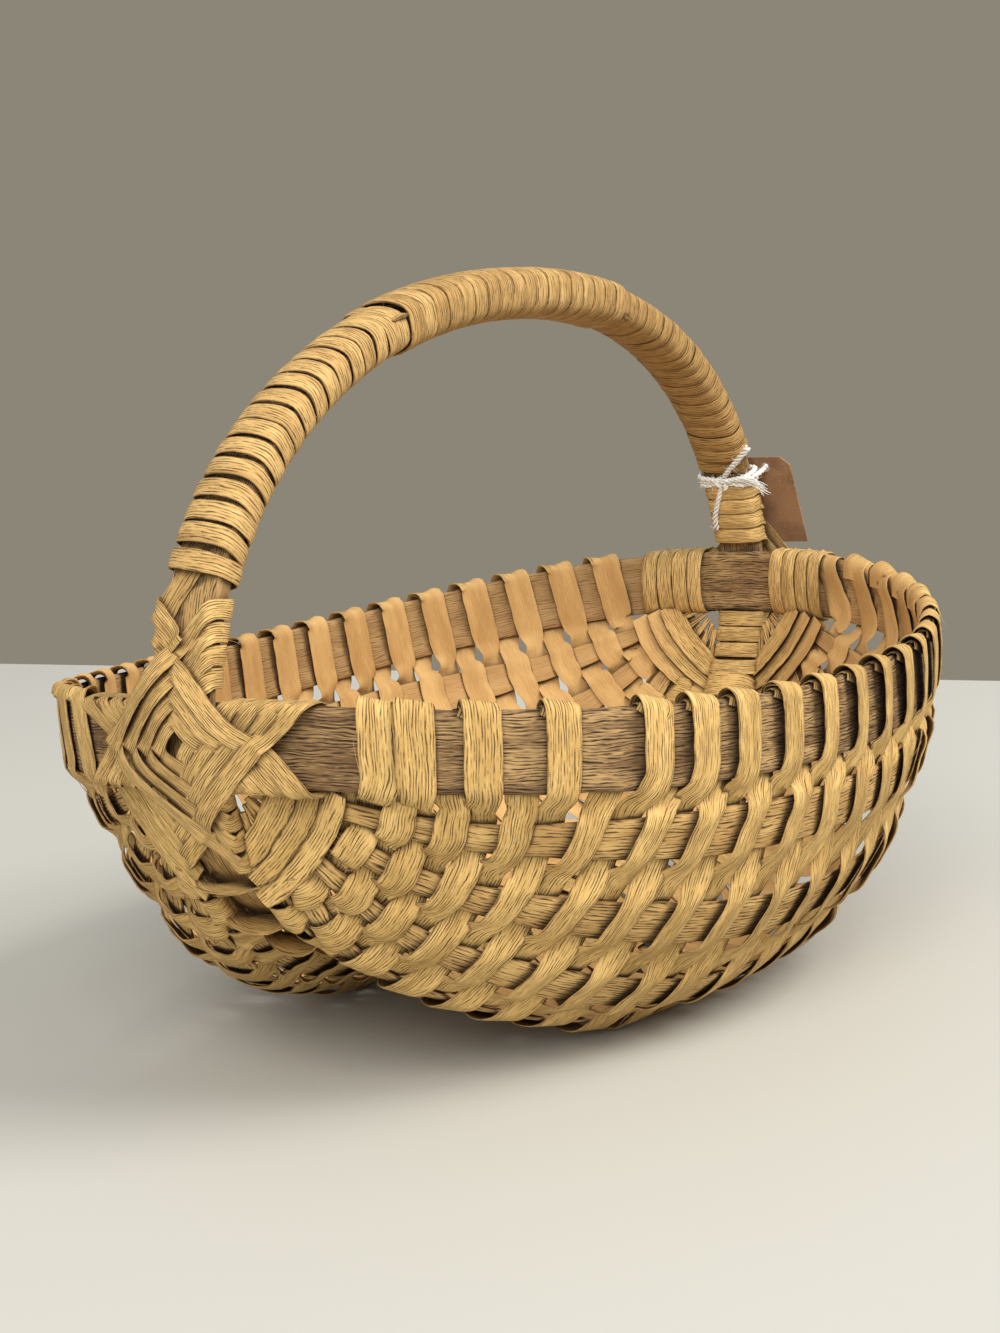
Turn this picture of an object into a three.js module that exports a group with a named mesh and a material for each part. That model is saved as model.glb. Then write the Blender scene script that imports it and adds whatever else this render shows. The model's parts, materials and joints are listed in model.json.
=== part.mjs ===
import * as THREE from 'three';

// A buttocks basket: two crossed hoops, ribs from eye to eye, and flat strips woven over them.
// Millimetres, +Z up. X runs along the handle's plane, and the two eyes lie at the ends of it.

// Mouth and body
const rimHalfLength = 185;
const rimHalfWidth = 142.5;
const rimFullness = 2.12; // 2 is an ellipse, and more is squarer
const rimSideDrop = 16; // how much lower the rim lies at its sides than at the eyes
const lobeDepth = 120.8; // from the rim's middle at the eyes down to the ribs at the lobes' bottom
const lobeCentre = 62; // how far the lobes' bottom lies from the spine
const lobeBulge = 4;
const lobeRoundness = 1.7;
const lobeEndTaper = 0.75; // how much faster the lobes narrow towards the eyes than the rim does
const spineRise = 22; // from the lobes' bottom up to the spine
const bottomFlatness = 1.02; // over 1 keeps the middle of the bottom level

// Hoops
const rimBandHeight = 26;
const rimBandThickness = 2.2;
const spineWidth = 20;
const spineThickness = 3;
const legThickness = 6;
const legTaperStart = 15.6; // above the eye, where the handle's leg begins to thicken
const legTaperEnd = 36.4;
const gripWidth = 21.6;
const gripThickness = 7.8;
const rimToHoopGap = 1.6; // at the eyes, where the outer hoop curves past the rim's edges
const handleRise = 131; // from the rim's middle to the middle of the handle
const handleFullness = 2.177;
const handleLean = 9; // how far the top of the handle leans to +X
const hoopSteps = 26;

// Ribs
const ribWidth = 17;
const ribThickness = 1.5;
const ribsPerSide = 5;
const bottomRib = 4; // counted from the rim, the rib that runs along the lobe's bottom
const rimToRibGap = 9.5;
const rimToRibTip = 5; // from the rim's lower edge, where the ribs crowd together
const spineToRibTip = 5;
const ribTipFullness = 0.26; // the share of the full section at which the ribs end
const ribWidthShare = 0.5; // of the ribs' spacing, where they crowd towards the eyes
const crowdedFullness = 0.3; // the share of the full section up to which the ribs crowd evenly
const openFullness = 0.7; // and from which they lie at their own places

// Weavers
const weaverCount = 20;
const weaverWidth = 12;
const weaverThickness = 0.8;
const weaverSpineWidth = 10.5; // where it crosses the spine
const weaverNarrowing = 0.8; // of the spacing of two passes, where they cross between ribs
const firstPass = 0.1; // the share of each rib's length that the eyes leave free of weavers
const wrapShift = 0.35; // of the spacing, how far a wrap shifts along the rim on its way up
const footHalfLength = 3.5;
const footReach = 3; // how high the bottom rib lies at most where the strips under it are flat feet
const footOffset = 5.3; // from the bottom rib to the middle of the strip that the basket stands on
const clearance = 0.35; // between pieces that touch
const tallestBend = 5.5; // how far a strip may stand off a rib that it crosses with a single bend
const edgeMargin = 0.6; // that a strip runs on past the edge of what it crosses, before it bends
const tiltAllowance = 0.05; // for the thickness of a strip that crosses at a slant

// Lashings of the two eyes
const lashingRounds = 4;
const lashingFirstRadius = 5;
const lashingSpacing = 6.9;
const lashingWidth = 3.2;
const lashingThickness = 0.6;
const lashingSlack = 0.45; // behind the arms that it goes round
const lashingLevel = 1.35; // from the middle of a lower strip to that of the strip that crosses it
const lashingHeight = 5; // above the hoop's outer face, where the strips cross the eye
const lashingSlopes = { up: 0.16, side: 0.18, down: 0.28 }; // how fast the eye falls away along its arms
const swapStart = 3.1; // along a strip, from the crossing of its own two runs
const swapEnd = 1.9;

// Windings of the handle: one on each leg, and one on the padded grip between them
const legWinding = { left: { width: 7, thickness: 0.8 }, right: { width: 6, thickness: 0.8 } };
const gripWinding = { width: 7.4, thickness: 1 };
const windingGap = 0.85; // between the turns, along the handle
const windingStart = 7.5; // from the lashing of the eye to the leg's first turn
const windingToString = 3.6;
const gripLength = 149;
const gripShift = -0.5; // of the grip's middle, along the handle from its own middle
const gripPadMargin = 3.5; // that the pad is longer than its winding, at each end
const gripPadRamp = 3;
const gripToLegWinding = 6;
const windingFaceShare = 0.37; // of a turn, on each flat face of the handle

// Tag and its string, on the leg at +X
const stringDiameter = 2;
const stringAboveLashing = 4.3;
const tagWidth = 24;
const tagLength = 42;
const tagThickness = 0.6;
const tagCorner = 4;
const tagHoleRadius = 2.2;
const tagHoleInset = 5; // from the tag's upper edge
const tagClearance = 0.6; // between the tag and the lashing that it hangs beside
const tagOffset = 14; // from the leg's middle plane
const knotRadius = 3.2;
const knotDepthShare = 0.75; // of its width, from the leg's face outwards
const knotHeightShare = 0.9;

const hoopHalfLength = rimHalfLength + rimBandThickness / 2 + rimToHoopGap + spineThickness / 2;
const rimHeight = lobeDepth + footOffset + weaverThickness / 2;
const spineDepth = lobeDepth - spineRise;
const lashingTurn = lashingSlack + lashingThickness / 2; // from an arm's edge to the middle of the strip round it
const lashingReach = lashingFirstRadius + lashingSpacing * (lashingRounds - 0.25)
  + spineWidth / 2 + lashingTurn + lashingWidth / 2; // up the handle's legs
const stringAbove = lashingReach + stringAboveLashing;
const tagStandOff = legThickness / 2 + lashingHeight + tagClearance; // from the middle of the leg
const passCount = 2 * weaverCount;
const passSpacing = (1 - 2 * firstPass) / passCount;
const lobeShare = 0.6; // of the section's parameter, from the rim to the lobe's bottom
const yAxis = new THREE.Vector3(0, 1, 0);
const zAxis = new THREE.Vector3(0, 0, 1);

function signedPower(value, power) {
  return Math.sign(value) * Math.pow(Math.abs(value), power);
}

function smoothStep(low, high, value) {
  const share = Math.min(1, Math.max(0, (value - low) / (high - low)));
  return share * share * (3 - 2 * share);
}

function mix(a, b, share) {
  return a + (b - a) * share;
}

// Turns rings of points into a closed mesh. A closed sweep joins its last ring to its first.
function sweep(rings, closed = false) {
  const sides = rings[0].length;
  const positions = rings.flat().flatMap((point) => [point.x, point.y, point.z]);
  const triangles = [];
  const steps = closed ? rings.length : rings.length - 1;
  for (let i = 0; i < steps; i++) {
    const here = i * sides;
    const there = ((i + 1) % rings.length) * sides;
    for (let side = 0; side < sides; side++) {
      const next = (side + 1) % sides;
      triangles.push(here + side, here + next, there + next);
      triangles.push(here + side, there + next, there + side);
    }
  }
  if (!closed) {
    const last = (rings.length - 1) * sides;
    for (let side = 1; side < sides - 1; side++) {
      triangles.push(0, side + 1, side);
      triangles.push(last, last + side, last + side + 1);
    }
  }
  const geometry = new THREE.BufferGeometry();
  geometry.setAttribute('position', new THREE.Float32BufferAttribute(positions, 3));
  geometry.setIndex(signedVolume(positions, triangles) < 0 ? triangles.reverse() : triangles);
  geometry.computeVertexNormals();
  return geometry;
}

function signedVolume(positions, triangles) {
  const corner = (index) => new THREE.Vector3().fromArray(positions, 3 * index);
  let volume = 0;
  for (let i = 0; i < triangles.length; i += 3) {
    const [a, b, c] = [corner(triangles[i]), corner(triangles[i + 1]), corner(triangles[i + 2])];
    volume += a.dot(b.cross(c)) / 6;
  }
  return volume;
}

// The four corners of a strip at a station: its centre, the way across it, the way out, and its size
function stripRing(station) {
  const across = station.across.clone().multiplyScalar(station.width / 2);
  const out = station.out.clone().multiplyScalar(station.thickness / 2);
  return [[1, 1], [-1, 1], [-1, -1], [1, -1]].map(([a, b]) =>
    station.centre.clone().addScaledVector(across, a).addScaledVector(out, b));
}

// Rims, ribs and the spine are tracks: stations at rising shares of a length, joined by straight runs
class Track {
  constructor(stations, length) {
    this.stations = stations;
    this.length = length;
  }

  at(share) {
    const last = this.stations.length - 1;
    let i = 0;
    while (i < last - 1 && this.stations[i + 1].share < share) {
      i += 1;
    }
    const [a, b] = [this.stations[i], this.stations[i + 1]];
    const t = (share - a.share) / (b.share - a.share);
    const blend = (key) => a[key].clone().lerp(b[key], t);
    return {
      centre: blend('centre'),
      along: blend('along').normalize(),
      across: blend('across').normalize(),
      out: blend('out').normalize(),
      width: mix(a.width, b.width, t),
      thickness: mix(a.thickness, b.thickness, t),
    };
  }
}

// Samples a curve closely, and finds the station at any share of its length by the given function
function trackAlong(curve, parameters, describe, shares, lead = 0) {
  const points = parameters.map(curve);
  const lengths = [lead];
  for (let i = 1; i < points.length; i++) {
    lengths.push(lengths[i - 1] + points[i].distanceTo(points[i - 1]));
  }
  const total = lengths[lengths.length - 1] + lead;
  const stations = shares(total, lead).map((share) => {
    const target = share * total;
    let i = 1;
    while (i < points.length - 1 && lengths[i] < target) {
      i += 1;
    }
    const t = (target - lengths[i - 1]) / (lengths[i] - lengths[i - 1]);
    const parameter = mix(parameters[i - 1], parameters[i], t);
    const along = points[i].clone().sub(points[i - 1]).normalize();
    const station = { share, centre: curve(parameter), along, ...describe(parameter, along, share * total, total) };
    station.across = new THREE.Vector3().crossVectors(station.along, station.out).normalize();
    station.out = new THREE.Vector3().crossVectors(station.across, station.along).normalize();
    return station;
  });
  return new Track(stations, total);
}

// The shares at which the weavers pass: every second pass is a station, so passes lie on straight runs
const passShare = (pass) => firstPass + (pass + 0.5) * passSpacing;
const stationPasses = [...Array(weaverCount).keys()].map((i) => 2 * i).concat(passCount - 1);
const passStations = stationPasses.map(passShare);
const eyeShares = [0, 0.035, 0.07];

// The section of one lobe at x. The parameter runs from the rim (0) by the lobe's bottom to the spine (1).
function fullnessAt(x) {
  const share = Math.min(1, Math.abs(x) / rimHalfLength);
  return Math.pow(1 - Math.pow(share, rimFullness), 1 / rimFullness);
}

function lobePoint(x, parameter, side) {
  const full = fullnessAt(x);
  const outer = Math.min(1, parameter / lobeShare);
  const inner = Math.max(0, (parameter - lobeShare) / (1 - lobeShare));
  const angle = (outer * Math.PI) / 2;
  const reach = Math.pow(Math.max(0, Math.cos(angle)), 2 / lobeRoundness);
  const drop = lobeDepth * Math.pow(Math.sin(angle), 2 / lobeRoundness);
  const rise = spineRise * (0.5 - 0.5 * Math.cos(Math.PI * inner));
  const outwards = mix(lobeCentre, rimHalfWidth, reach) + lobeBulge * Math.sin(Math.PI * outer);
  const y = Math.pow(full, 1 + lobeEndTaper * (drop / lobeDepth)) * outwards * (1 - inner);
  const z = -rimSideDrop * full * full * (1 - outer) - Math.min(1, bottomFlatness * full) * (drop - rise);
  return new THREE.Vector3(x, side * y, rimHeight + z);
}

function lobeSection(x) {
  const steps = 100;
  const arcs = [0];
  let outerArc = 0;
  let before = lobePoint(x, 0, 1);
  for (let i = 1; i <= steps; i++) {
    const here = lobePoint(x, i / steps, 1);
    arcs.push(arcs[i - 1] + here.distanceTo(before));
    before = here;
    if (i === Math.round(steps * lobeShare)) {
      outerArc = arcs[i];
    }
  }
  const total = arcs[steps];
  const parameterAt = (arc) => {
    let i = 1;
    while (i < steps && arcs[i] < arc) {
      i += 1;
    }
    return (i - 1 + (arc - arcs[i - 1]) / (arcs[i] - arcs[i - 1])) / steps;
  };
  return { outerArc, total, parameterAt };
}

// Where the ribs' middles lie along the section at x, and how wide they are there
function ribPlaces(x) {
  const { outerArc, total, parameterAt } = lobeSection(x);
  const rimEdge = rimBandHeight / 2 + rimToRibTip;
  const spineEdge = spineWidth / 2 + spineToRibTip;
  const firstArc = rimBandHeight / 2 + rimToRibGap + ribWidth / 2;
  const crowdedStep = (total - rimEdge - spineEdge) / ribsPerSide;
  const openStep = (outerArc - firstArc) / (bottomRib - 1);
  const innerRibs = ribsPerSide - bottomRib;
  const innerGap = (total - outerArc - ribWidth * (innerRibs + 0.5) - spineWidth / 2) / (innerRibs + 1);
  const openness = smoothStep(crowdedFullness, openFullness, fullnessAt(x));
  const arcs = [];
  for (let rib = 1; rib <= ribsPerSide; rib++) {
    const crowded = rimEdge + crowdedStep * (rib - 0.5);
    const outerPlace = firstArc + openStep * (rib - 1);
    const innerPlace = outerArc + (rib - bottomRib) * (innerGap + ribWidth);
    const open = rib <= bottomRib ? outerPlace : innerPlace;
    arcs.push(mix(crowded, open, openness));
  }
  let step = 2 * (arcs[0] - rimBandHeight / 2);
  for (let i = 1; i < arcs.length; i++) {
    step = Math.min(step, arcs[i] - arcs[i - 1]);
  }
  return { parameters: arcs.map(parameterAt), width: Math.min(ribWidth, ribWidthShare * step) };
}

function makeRibTrack(rib, side) {
  const tip = rimHalfLength * Math.pow(1 - Math.pow(ribTipFullness, rimFullness), 1 / rimFullness);
  const steps = 90;
  const places = [...Array(steps + 1).keys()].map((i) => -tip * Math.cos((Math.PI * i) / steps));
  const middle = (x) => lobePoint(x, ribPlaces(x).parameters[rib - 1], side);
  const eye = new THREE.Vector3(-rimHalfLength, 0, rimHeight);
  const describe = (x, along) => {
    const { parameters, width } = ribPlaces(x);
    const nudge = 0.01;
    const above = lobePoint(x, parameters[rib - 1] - nudge, side);
    const below = lobePoint(x, parameters[rib - 1] + nudge, side);
    const out = new THREE.Vector3().crossVectors(along, below.sub(above)).multiplyScalar(side).normalize();
    const level = rib === bottomRib && bottomFlatness * fullnessAt(x) >= 1;
    return { out: level ? new THREE.Vector3(0, 0, -1) : out, width, thickness: ribThickness };
  };
  const lead = eye.distanceTo(middle(-tip));
  const shares = (total) => [lead / total, ...passStations, 1 - lead / total];
  return trackAlong(middle, places, describe, shares, lead);
}

function makeRimTrack(side) {
  const curve = (angle) => {
    const x = -rimHalfLength * signedPower(Math.cos(angle), 2 / rimFullness);
    const y = rimHalfWidth * signedPower(Math.sin(angle), 2 / rimFullness);
    return new THREE.Vector3(x, side * y, rimHeight - rimSideDrop * Math.pow(y / rimHalfWidth, 2));
  };
  const steps = 360;
  const angles = [...Array(steps + 1).keys()].map((i) => (Math.PI * i) / steps);
  const describe = (angle, along) => {
    const out = new THREE.Vector3(along.y, -along.x, 0).multiplyScalar(-side).normalize();
    return { out, width: rimBandHeight, thickness: rimBandThickness };
  };
  const shares = () => [...eyeShares, ...passStations, ...eyeShares.map((share) => 1 - share).reverse()];
  return trackAlong(curve, angles, describe, shares);
}

function makeSpineTrack() {
  const curve = (angle) => {
    const x = -hoopHalfLength * signedPower(Math.cos(angle), 2 / rimFullness);
    const drop = Math.min(spineDepth, bottomFlatness * spineDepth * signedPower(Math.sin(angle), 2 / rimFullness));
    return new THREE.Vector3(x, 0, rimHeight - drop);
  };
  const steps = 360;
  const angles = [...Array(steps + 1).keys()].map((i) => (Math.PI * i) / steps);
  const describe = (angle, along) => ({
    out: new THREE.Vector3(along.z, 0, -along.x),
    width: spineWidth,
    thickness: spineThickness,
  });
  const shares = () => [...eyeShares, ...passStations, ...eyeShares.map((share) => 1 - share).reverse()];
  return trackAlong(curve, angles, describe, shares);
}

function makeHandleTrack() {
  const curve = (angle) => {
    const lean = handleLean * Math.pow(Math.sin(angle), 2);
    const x = -hoopHalfLength * signedPower(Math.cos(angle), 2 / handleFullness) + lean;
    return new THREE.Vector3(x, 0, rimHeight + handleRise * signedPower(Math.sin(angle), 2 / handleFullness));
  };
  const steps = 360;
  const angles = [...Array(steps + 1).keys()].map((i) => (Math.PI * i) / steps);
  const describe = (angle, along, arc, total) => {
    const fromEye = handleRise * Math.sin(angle);
    const leg = mix(spineThickness, legThickness, smoothStep(legTaperStart, legTaperEnd, fromEye));
    const fromGrip = Math.abs(arc - total / 2 - gripShift);
    const padHalf = gripLength / 2 + gripPadMargin;
    const pad = 1 - smoothStep(padHalf - gripPadRamp, padHalf + gripPadRamp, fromGrip);
    return {
      out: new THREE.Vector3(-along.z, 0, along.x),
      width: mix(spineWidth, gripWidth, pad),
      thickness: mix(leg, gripThickness, pad),
    };
  };
  const shares = (total) => {
    const even = [...Array(hoopSteps + 1).keys()].map((i) => i / hoopSteps);
    const rampEnd = gripPadRamp + 1;
    const ramps = [-1, 1].flatMap((end) => {
      const arc = total / 2 + gripShift + end * (gripLength / 2 + gripPadMargin);
      return [(arc - rampEnd) / total, (arc + rampEnd) / total];
    });
    const clearOfRamps = even.filter((share) => ramps.every((other) => Math.abs(other - share) * total > rampEnd));
    return clearOfRamps.concat(ramps).sort((a, b) => a - b);
  };
  return trackAlong(curve, angles, describe, shares);
}

const rims = { 1: makeRimTrack(1), '-1': makeRimTrack(-1) };
const spine = makeSpineTrack();
const handle = makeHandleTrack();
const ribs = { 1: [], '-1': [] };
for (const side of [1, -1]) {
  for (let rib = 1; rib <= ribsPerSide; rib++) {
    ribs[side].push(makeRibTrack(rib, side));
  }
}

// Rings of two half tracks that meet at the eyes
function hoopRings(first, second) {
  const there = first.stations.map(stripRing);
  const back = second.stations.slice(1, -1).reverse().map((station) => {
    return stripRing({ ...station, across: station.across.clone().negate() });
  });
  return there.concat(back);
}

// The elements that a pass crosses, from the rim at -Y to the rim at +Y
const elements = [
  ...ribs[-1].map((track) => ({ track })),
  { track: spine, spine: true },
  ...[...ribs[1]].reverse().map((track) => ({ track })),
];
const bottomElements = [bottomRib - 1, elements.length - bottomRib];

function strip(centre, along, out, width = weaverWidth) {
  return { centre, across: along.clone(), out: out.clone(), width, thickness: weaverThickness };
}

// The point of a crossed element's edge that looks towards another point
function edgeTowards(frame, target) {
  const towards = Math.sign(target.clone().sub(frame.centre).dot(frame.across));
  return frame.centre.clone().addScaledVector(frame.across, (towards * frame.width) / 2);
}

// Half way between two elements the two passes swap sides, and are narrow enough to miss each other
function gapStation(frameA, frameB, trackLength) {
  const edgeA = edgeTowards(frameA, frameB.centre);
  const edgeB = edgeTowards(frameB, frameA.centre);
  const width = Math.min(weaverWidth, weaverNarrowing * passSpacing * trackLength);
  const along = frameA.along.clone().add(frameB.along).normalize();
  const out = frameA.out.clone().add(frameB.out).normalize();
  return strip(edgeA.lerp(edgeB, 0.5), along, out, width);
}

// How far a bent track rises above its own station, towards one side, under the width of a strip
function bendUnder(track, share, frame, outwards) {
  const reach = weaverWidth / 2 / track.length;
  const rises = [-reach, reach].map((step) => {
    return track.at(share + step).centre.sub(frame.centre).dot(frame.out) * outwards;
  });
  return Math.max(0, ...rises);
}

// How far off a rib a strip passes, so that it clears the rib's edges on its way to the gaps beside it
function crossingOffset(frame, outwards, gaps, bend, flatHalf = 0) {
  const need = frame.thickness / 2 + clearance + weaverThickness / 2 + tiltAllowance + bend;
  let offset = need;
  for (const gap of gaps) {
    const towards = gap.centre.clone().sub(frame.centre);
    const reach = Math.abs(towards.dot(frame.across));
    const height = towards.dot(frame.out) * outwards;
    const share = Math.max(0, frame.width / 2 + edgeMargin - flatHalf) / (reach - flatHalf);
    offset = Math.max(offset, (need - height * share) / (1 - share));
  }
  return offset;
}

// The stations of one pass under the basket, from just below one rim to just below the other
function passStationsOf(pass, outwards) {
  const share = passShare(pass);
  const rimFrames = [rims[-1].at(share), rims[1].at(share)];
  const frames = elements.map((element) => element.track.at(share));
  const lengths = elements.map((element) => element.track.length);
  const gaps = [gapStation(rimFrames[0], frames[0], rims[1].length)];
  for (let i = 1; i < frames.length; i++) {
    gaps.push(gapStation(frames[i - 1], frames[i], (lengths[i - 1] + lengths[i]) / 2));
  }
  gaps.push(gapStation(frames[frames.length - 1], rimFrames[1], rims[1].length));
  const stations = [];
  frames.forEach((frame, i) => {
    const side = i % 2 === 0 ? -outwards : outwards;
    stations.push(gaps[i]);
    const bend = bendUnder(elements[i].track, share, frame, side);
    const beside = [gaps[i], gaps[i + 1]];
    const ahead = Math.sign(beside[1].centre.clone().sub(frame.centre).dot(frame.across));
    const flatCrossing = (flatHalf, offset, width) => [-1, 1].map((end) => {
      const centre = frame.centre.clone()
        .addScaledVector(frame.across, end * ahead * flatHalf)
        .addScaledVector(frame.out, side * offset);
      return strip(centre, frame.along, frame.out, width);
    });
    if (elements[i].spine) {
      const offset = frame.thickness / 2 + clearance + weaverThickness / 2 + bend;
      stations.push(...flatCrossing(frame.width / 2 + edgeMargin, offset, weaverSpineWidth));
      return;
    }
    const lift = frame.centre.z - (rimHeight - lobeDepth);
    if (bottomElements.includes(i) && side === 1 && lift < footReach) {
      const tilt = Math.abs(frame.along.z) * (weaverWidth / 2);
      const flatHalf = Math.min(footHalfLength, frame.width / 4);
      const least = crossingOffset(frame, side, beside, bend, flatHalf);
      stations.push(...flatCrossing(flatHalf, Math.max(footOffset - tilt - lift, least)));
      return;
    }
    const offset = crossingOffset(frame, side, beside, bend);
    if (offset > tallestBend) {
      const flatHalf = frame.width / 2 + edgeMargin / 2;
      stations.push(...flatCrossing(flatHalf, crossingOffset(frame, side, beside, bend, flatHalf)));
      return;
    }
    stations.push(strip(frame.centre.clone().addScaledVector(frame.out, side * offset), frame.along, frame.out));
  });
  stations.push(gaps[frames.length]);
  return stations;
}

// Up one face of the rim band: its lower edge, then its upper corner, shifted towards the wrap's middle
function rimStations(side, pass, outwards, shift) {
  const below = rims[side].at(passShare(pass));
  const above = rims[side].at(passShare(pass) + shift * passSpacing);
  const bend = bendUnder(rims[side], passShare(pass), below, outwards);
  const off = rimBandThickness / 2 + clearance + weaverThickness / 2 + bend;
  const half = rimBandHeight / 2;
  const up = (frame) => frame.across.clone().multiplyScalar(Math.sign(frame.across.z));
  const low = below.centre.clone().addScaledVector(up(below), -half - edgeMargin);
  const high = above.centre.clone().addScaledVector(up(above), half + clearance + weaverThickness / 2);
  const corner = above.out.clone().multiplyScalar(outwards).add(up(above));
  return [
    strip(low.addScaledVector(below.out, outwards * off), below.along, below.out.clone().multiplyScalar(outwards)),
    strip(high.addScaledVector(above.out, outwards * off), above.along, corner),
  ];
}

// Where a strip ends on top of the rim, short of the next strip's end
function topEnd(side, share, outwards) {
  const frame = rims[side].at(share);
  const up = frame.across.clone().multiplyScalar(Math.sign(frame.across.z));
  const centre = frame.centre.clone()
    .addScaledVector(up, rimBandHeight / 2 + clearance + weaverThickness / 2)
    .addScaledVector(frame.out, (outwards * clearance) / 2);
  return strip(centre, frame.along, up);
}

// One weaver: out under the basket on one pass, over the far rim, and back on the next pass
function weaverStations(weaver) {
  const outPass = 2 * weaver;
  const backPass = outPass + 1;
  const flip = (station) => ({ ...station, out: station.out.clone().negate() });
  const outRun = passStationsOf(outPass, 1);
  const backRun = passStationsOf(backPass, -1).reverse().map(flip);
  const [nearLow, nearHigh] = rimStations(-1, outPass, 1, -wrapShift);
  const [farLow, farHigh] = rimStations(1, outPass, 1, wrapShift);
  const [farInLow, farInHigh] = rimStations(1, backPass, -1, -wrapShift);
  const [nearInLow, nearInHigh] = rimStations(-1, backPass, -1, wrapShift);
  return [
    topEnd(-1, passShare(outPass - 0.5), 1),
    nearHigh,
    nearLow,
    ...outRun,
    farLow,
    farHigh,
    farInHigh,
    farInLow,
    ...backRun,
    nearInLow,
    nearInHigh,
    topEnd(-1, passShare(backPass + 0.5), -1),
  ];
}

// The lashing of one eye: a strip that goes over, round and under each arm of the crossing in turn
function lashingStations(end) {
  const outward = new THREE.Vector3(end, 0, 0);
  const right = new THREE.Vector3(0, end, 0);
  const eye = new THREE.Vector3(end * (hoopHalfLength + spineThickness / 2), 0, rimHeight);
  const { up, side, down } = lashingSlopes;
  const height = (a, b) => {
    const fall = side * Math.abs(a) + (b > 0 ? up : down) * Math.abs(b);
    return lashingHeight - fall;
  };
  const point = (plan, level) => eye.clone()
    .addScaledVector(right, plan.x)
    .addScaledVector(zAxis, plan.y)
    .addScaledVector(outward, height(plan.x, plan.y) + level);
  const arms = [
    { along: new THREE.Vector2(1, 0), track: rims[end], half: rimBandHeight / 2 },
    { along: new THREE.Vector2(0, -1), track: spine, half: spineWidth / 2 },
    { along: new THREE.Vector2(-1, 0), track: rims[-end], half: rimBandHeight / 2 },
    { along: new THREE.Vector2(0, 1), track: handle, half: spineWidth / 2 },
  ];
  const world = (plan) => right.clone().multiplyScalar(plan.x).addScaledVector(zAxis, plan.y);
  const front = (plan, across, level) => {
    const half = across.clone().multiplyScalar(lashingWidth / 2);
    const left = point(plan.clone().add(half), level);
    const there = point(plan.clone().sub(half), level);
    return {
      centre: left.clone().add(there).multiplyScalar(0.5),
      across: left.sub(there).divideScalar(lashingWidth),
      out: outward.clone(),
      width: lashingWidth,
      thickness: lashingThickness,
    };
  };
  // The arm's own station where it lies the given distance from the eye
  const armFrame = (arm, distance) => {
    const direction = world(arm.along);
    let [low, high] = [0, 0.25];
    for (let i = 0; i < 30; i++) {
      const middle = (low + high) / 2;
      const frame = arm.track.at(end < 0 ? middle : 1 - middle);
      const reached = frame.centre.clone().sub(eye).dot(direction);
      [low, high] = reached < distance ? [middle, high] : [low, middle];
    }
    return arm.track.at(end < 0 ? low : 1 - low);
  };
  const stations = [];
  for (let round = 0; round < lashingRounds; round++) {
    arms.forEach((arm, i) => {
      const radius = lashingFirstRadius + lashingSpacing * (round + i / arms.length);
      const along = arm.along;
      const across = arms[(i + 1) % 4].along;
      const off = arm.half + lashingTurn;
      const plan = (u, v) => along.clone().multiplyScalar(u).addScaledVector(across, v);
      const diagonal = (sign) => along.clone().addScaledVector(across, sign).normalize();
      const slant = Math.SQRT1_2;
      const arrive = (back, level) => front(plan(radius - back * slant, -back * slant), diagonal(-1), level);
      const depart = (back, level) => front(plan(radius + back * slant, -back * slant), diagonal(1), level);
      const frame = armFrame(arm, radius + off);
      const behind = frame.thickness / 2 + lashingTurn;
      const sag = frame.centre.clone().sub(eye).dot(world(across));
      const corner = (v, level, inner) => {
        const sideways = world(across).multiplyScalar(Math.sign(v));
        const centre = inner
          ? frame.centre.clone().addScaledVector(frame.out, -behind).addScaledVector(world(across), v)
          : point(plan(radius + off, v + sag), level);
        const out = inner ? sideways.sub(frame.out) : sideways.add(outward);
        const width = lashingWidth;
        const lengthwise = frame.along.clone().multiplyScalar(Math.sign(frame.along.dot(world(along))));
        return { centre, across: lengthwise, out, width, thickness: lashingThickness };
      };
      stations.push(
        arrive(swapStart, lashingLevel),
        arrive(swapEnd, 0),
        corner(off, 0, false),
        corner(off, 0, true),
        corner(-off, 0, true),
        corner(-off, 0, false),
        depart(swapStart, 0),
        depart(swapEnd, lashingLevel),
        depart(0, lashingLevel),
      );
    });
  }
  return stations;
}

// A flat strip wound round the handle, with a station at each corner of the handle's section
function windingStations({ width, thickness }, from, to) {
  const stations = [];
  const turns = Math.floor((to - from - width) / (width + windingGap));
  const pitch = (to - from - width) / turns;
  for (let turn = 0; turn < turns; turn++) {
    const advances = [0, windingFaceShare, 0.5, 0.5 + windingFaceShare];
    const corners = [[-1, 1], [1, 1], [1, -1], [-1, -1]];
    corners.forEach(([sideways, outwards], i) => {
      const place = from + width / 2 + pitch * (turn + advances[i]);
      const frame = handle.at(place / handle.length);
      const off = clearance + thickness / 2;
      const centre = frame.centre.clone()
        .addScaledVector(yAxis, sideways * (frame.width / 2 + off))
        .addScaledVector(frame.out, outwards * (frame.thickness / 2 + off));
      const out = yAxis.clone().multiplyScalar(sideways).addScaledVector(frame.out, outwards);
      stations.push({ centre, across: frame.along, out, width, thickness });
    });
  }
  return stations;
}

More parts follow.
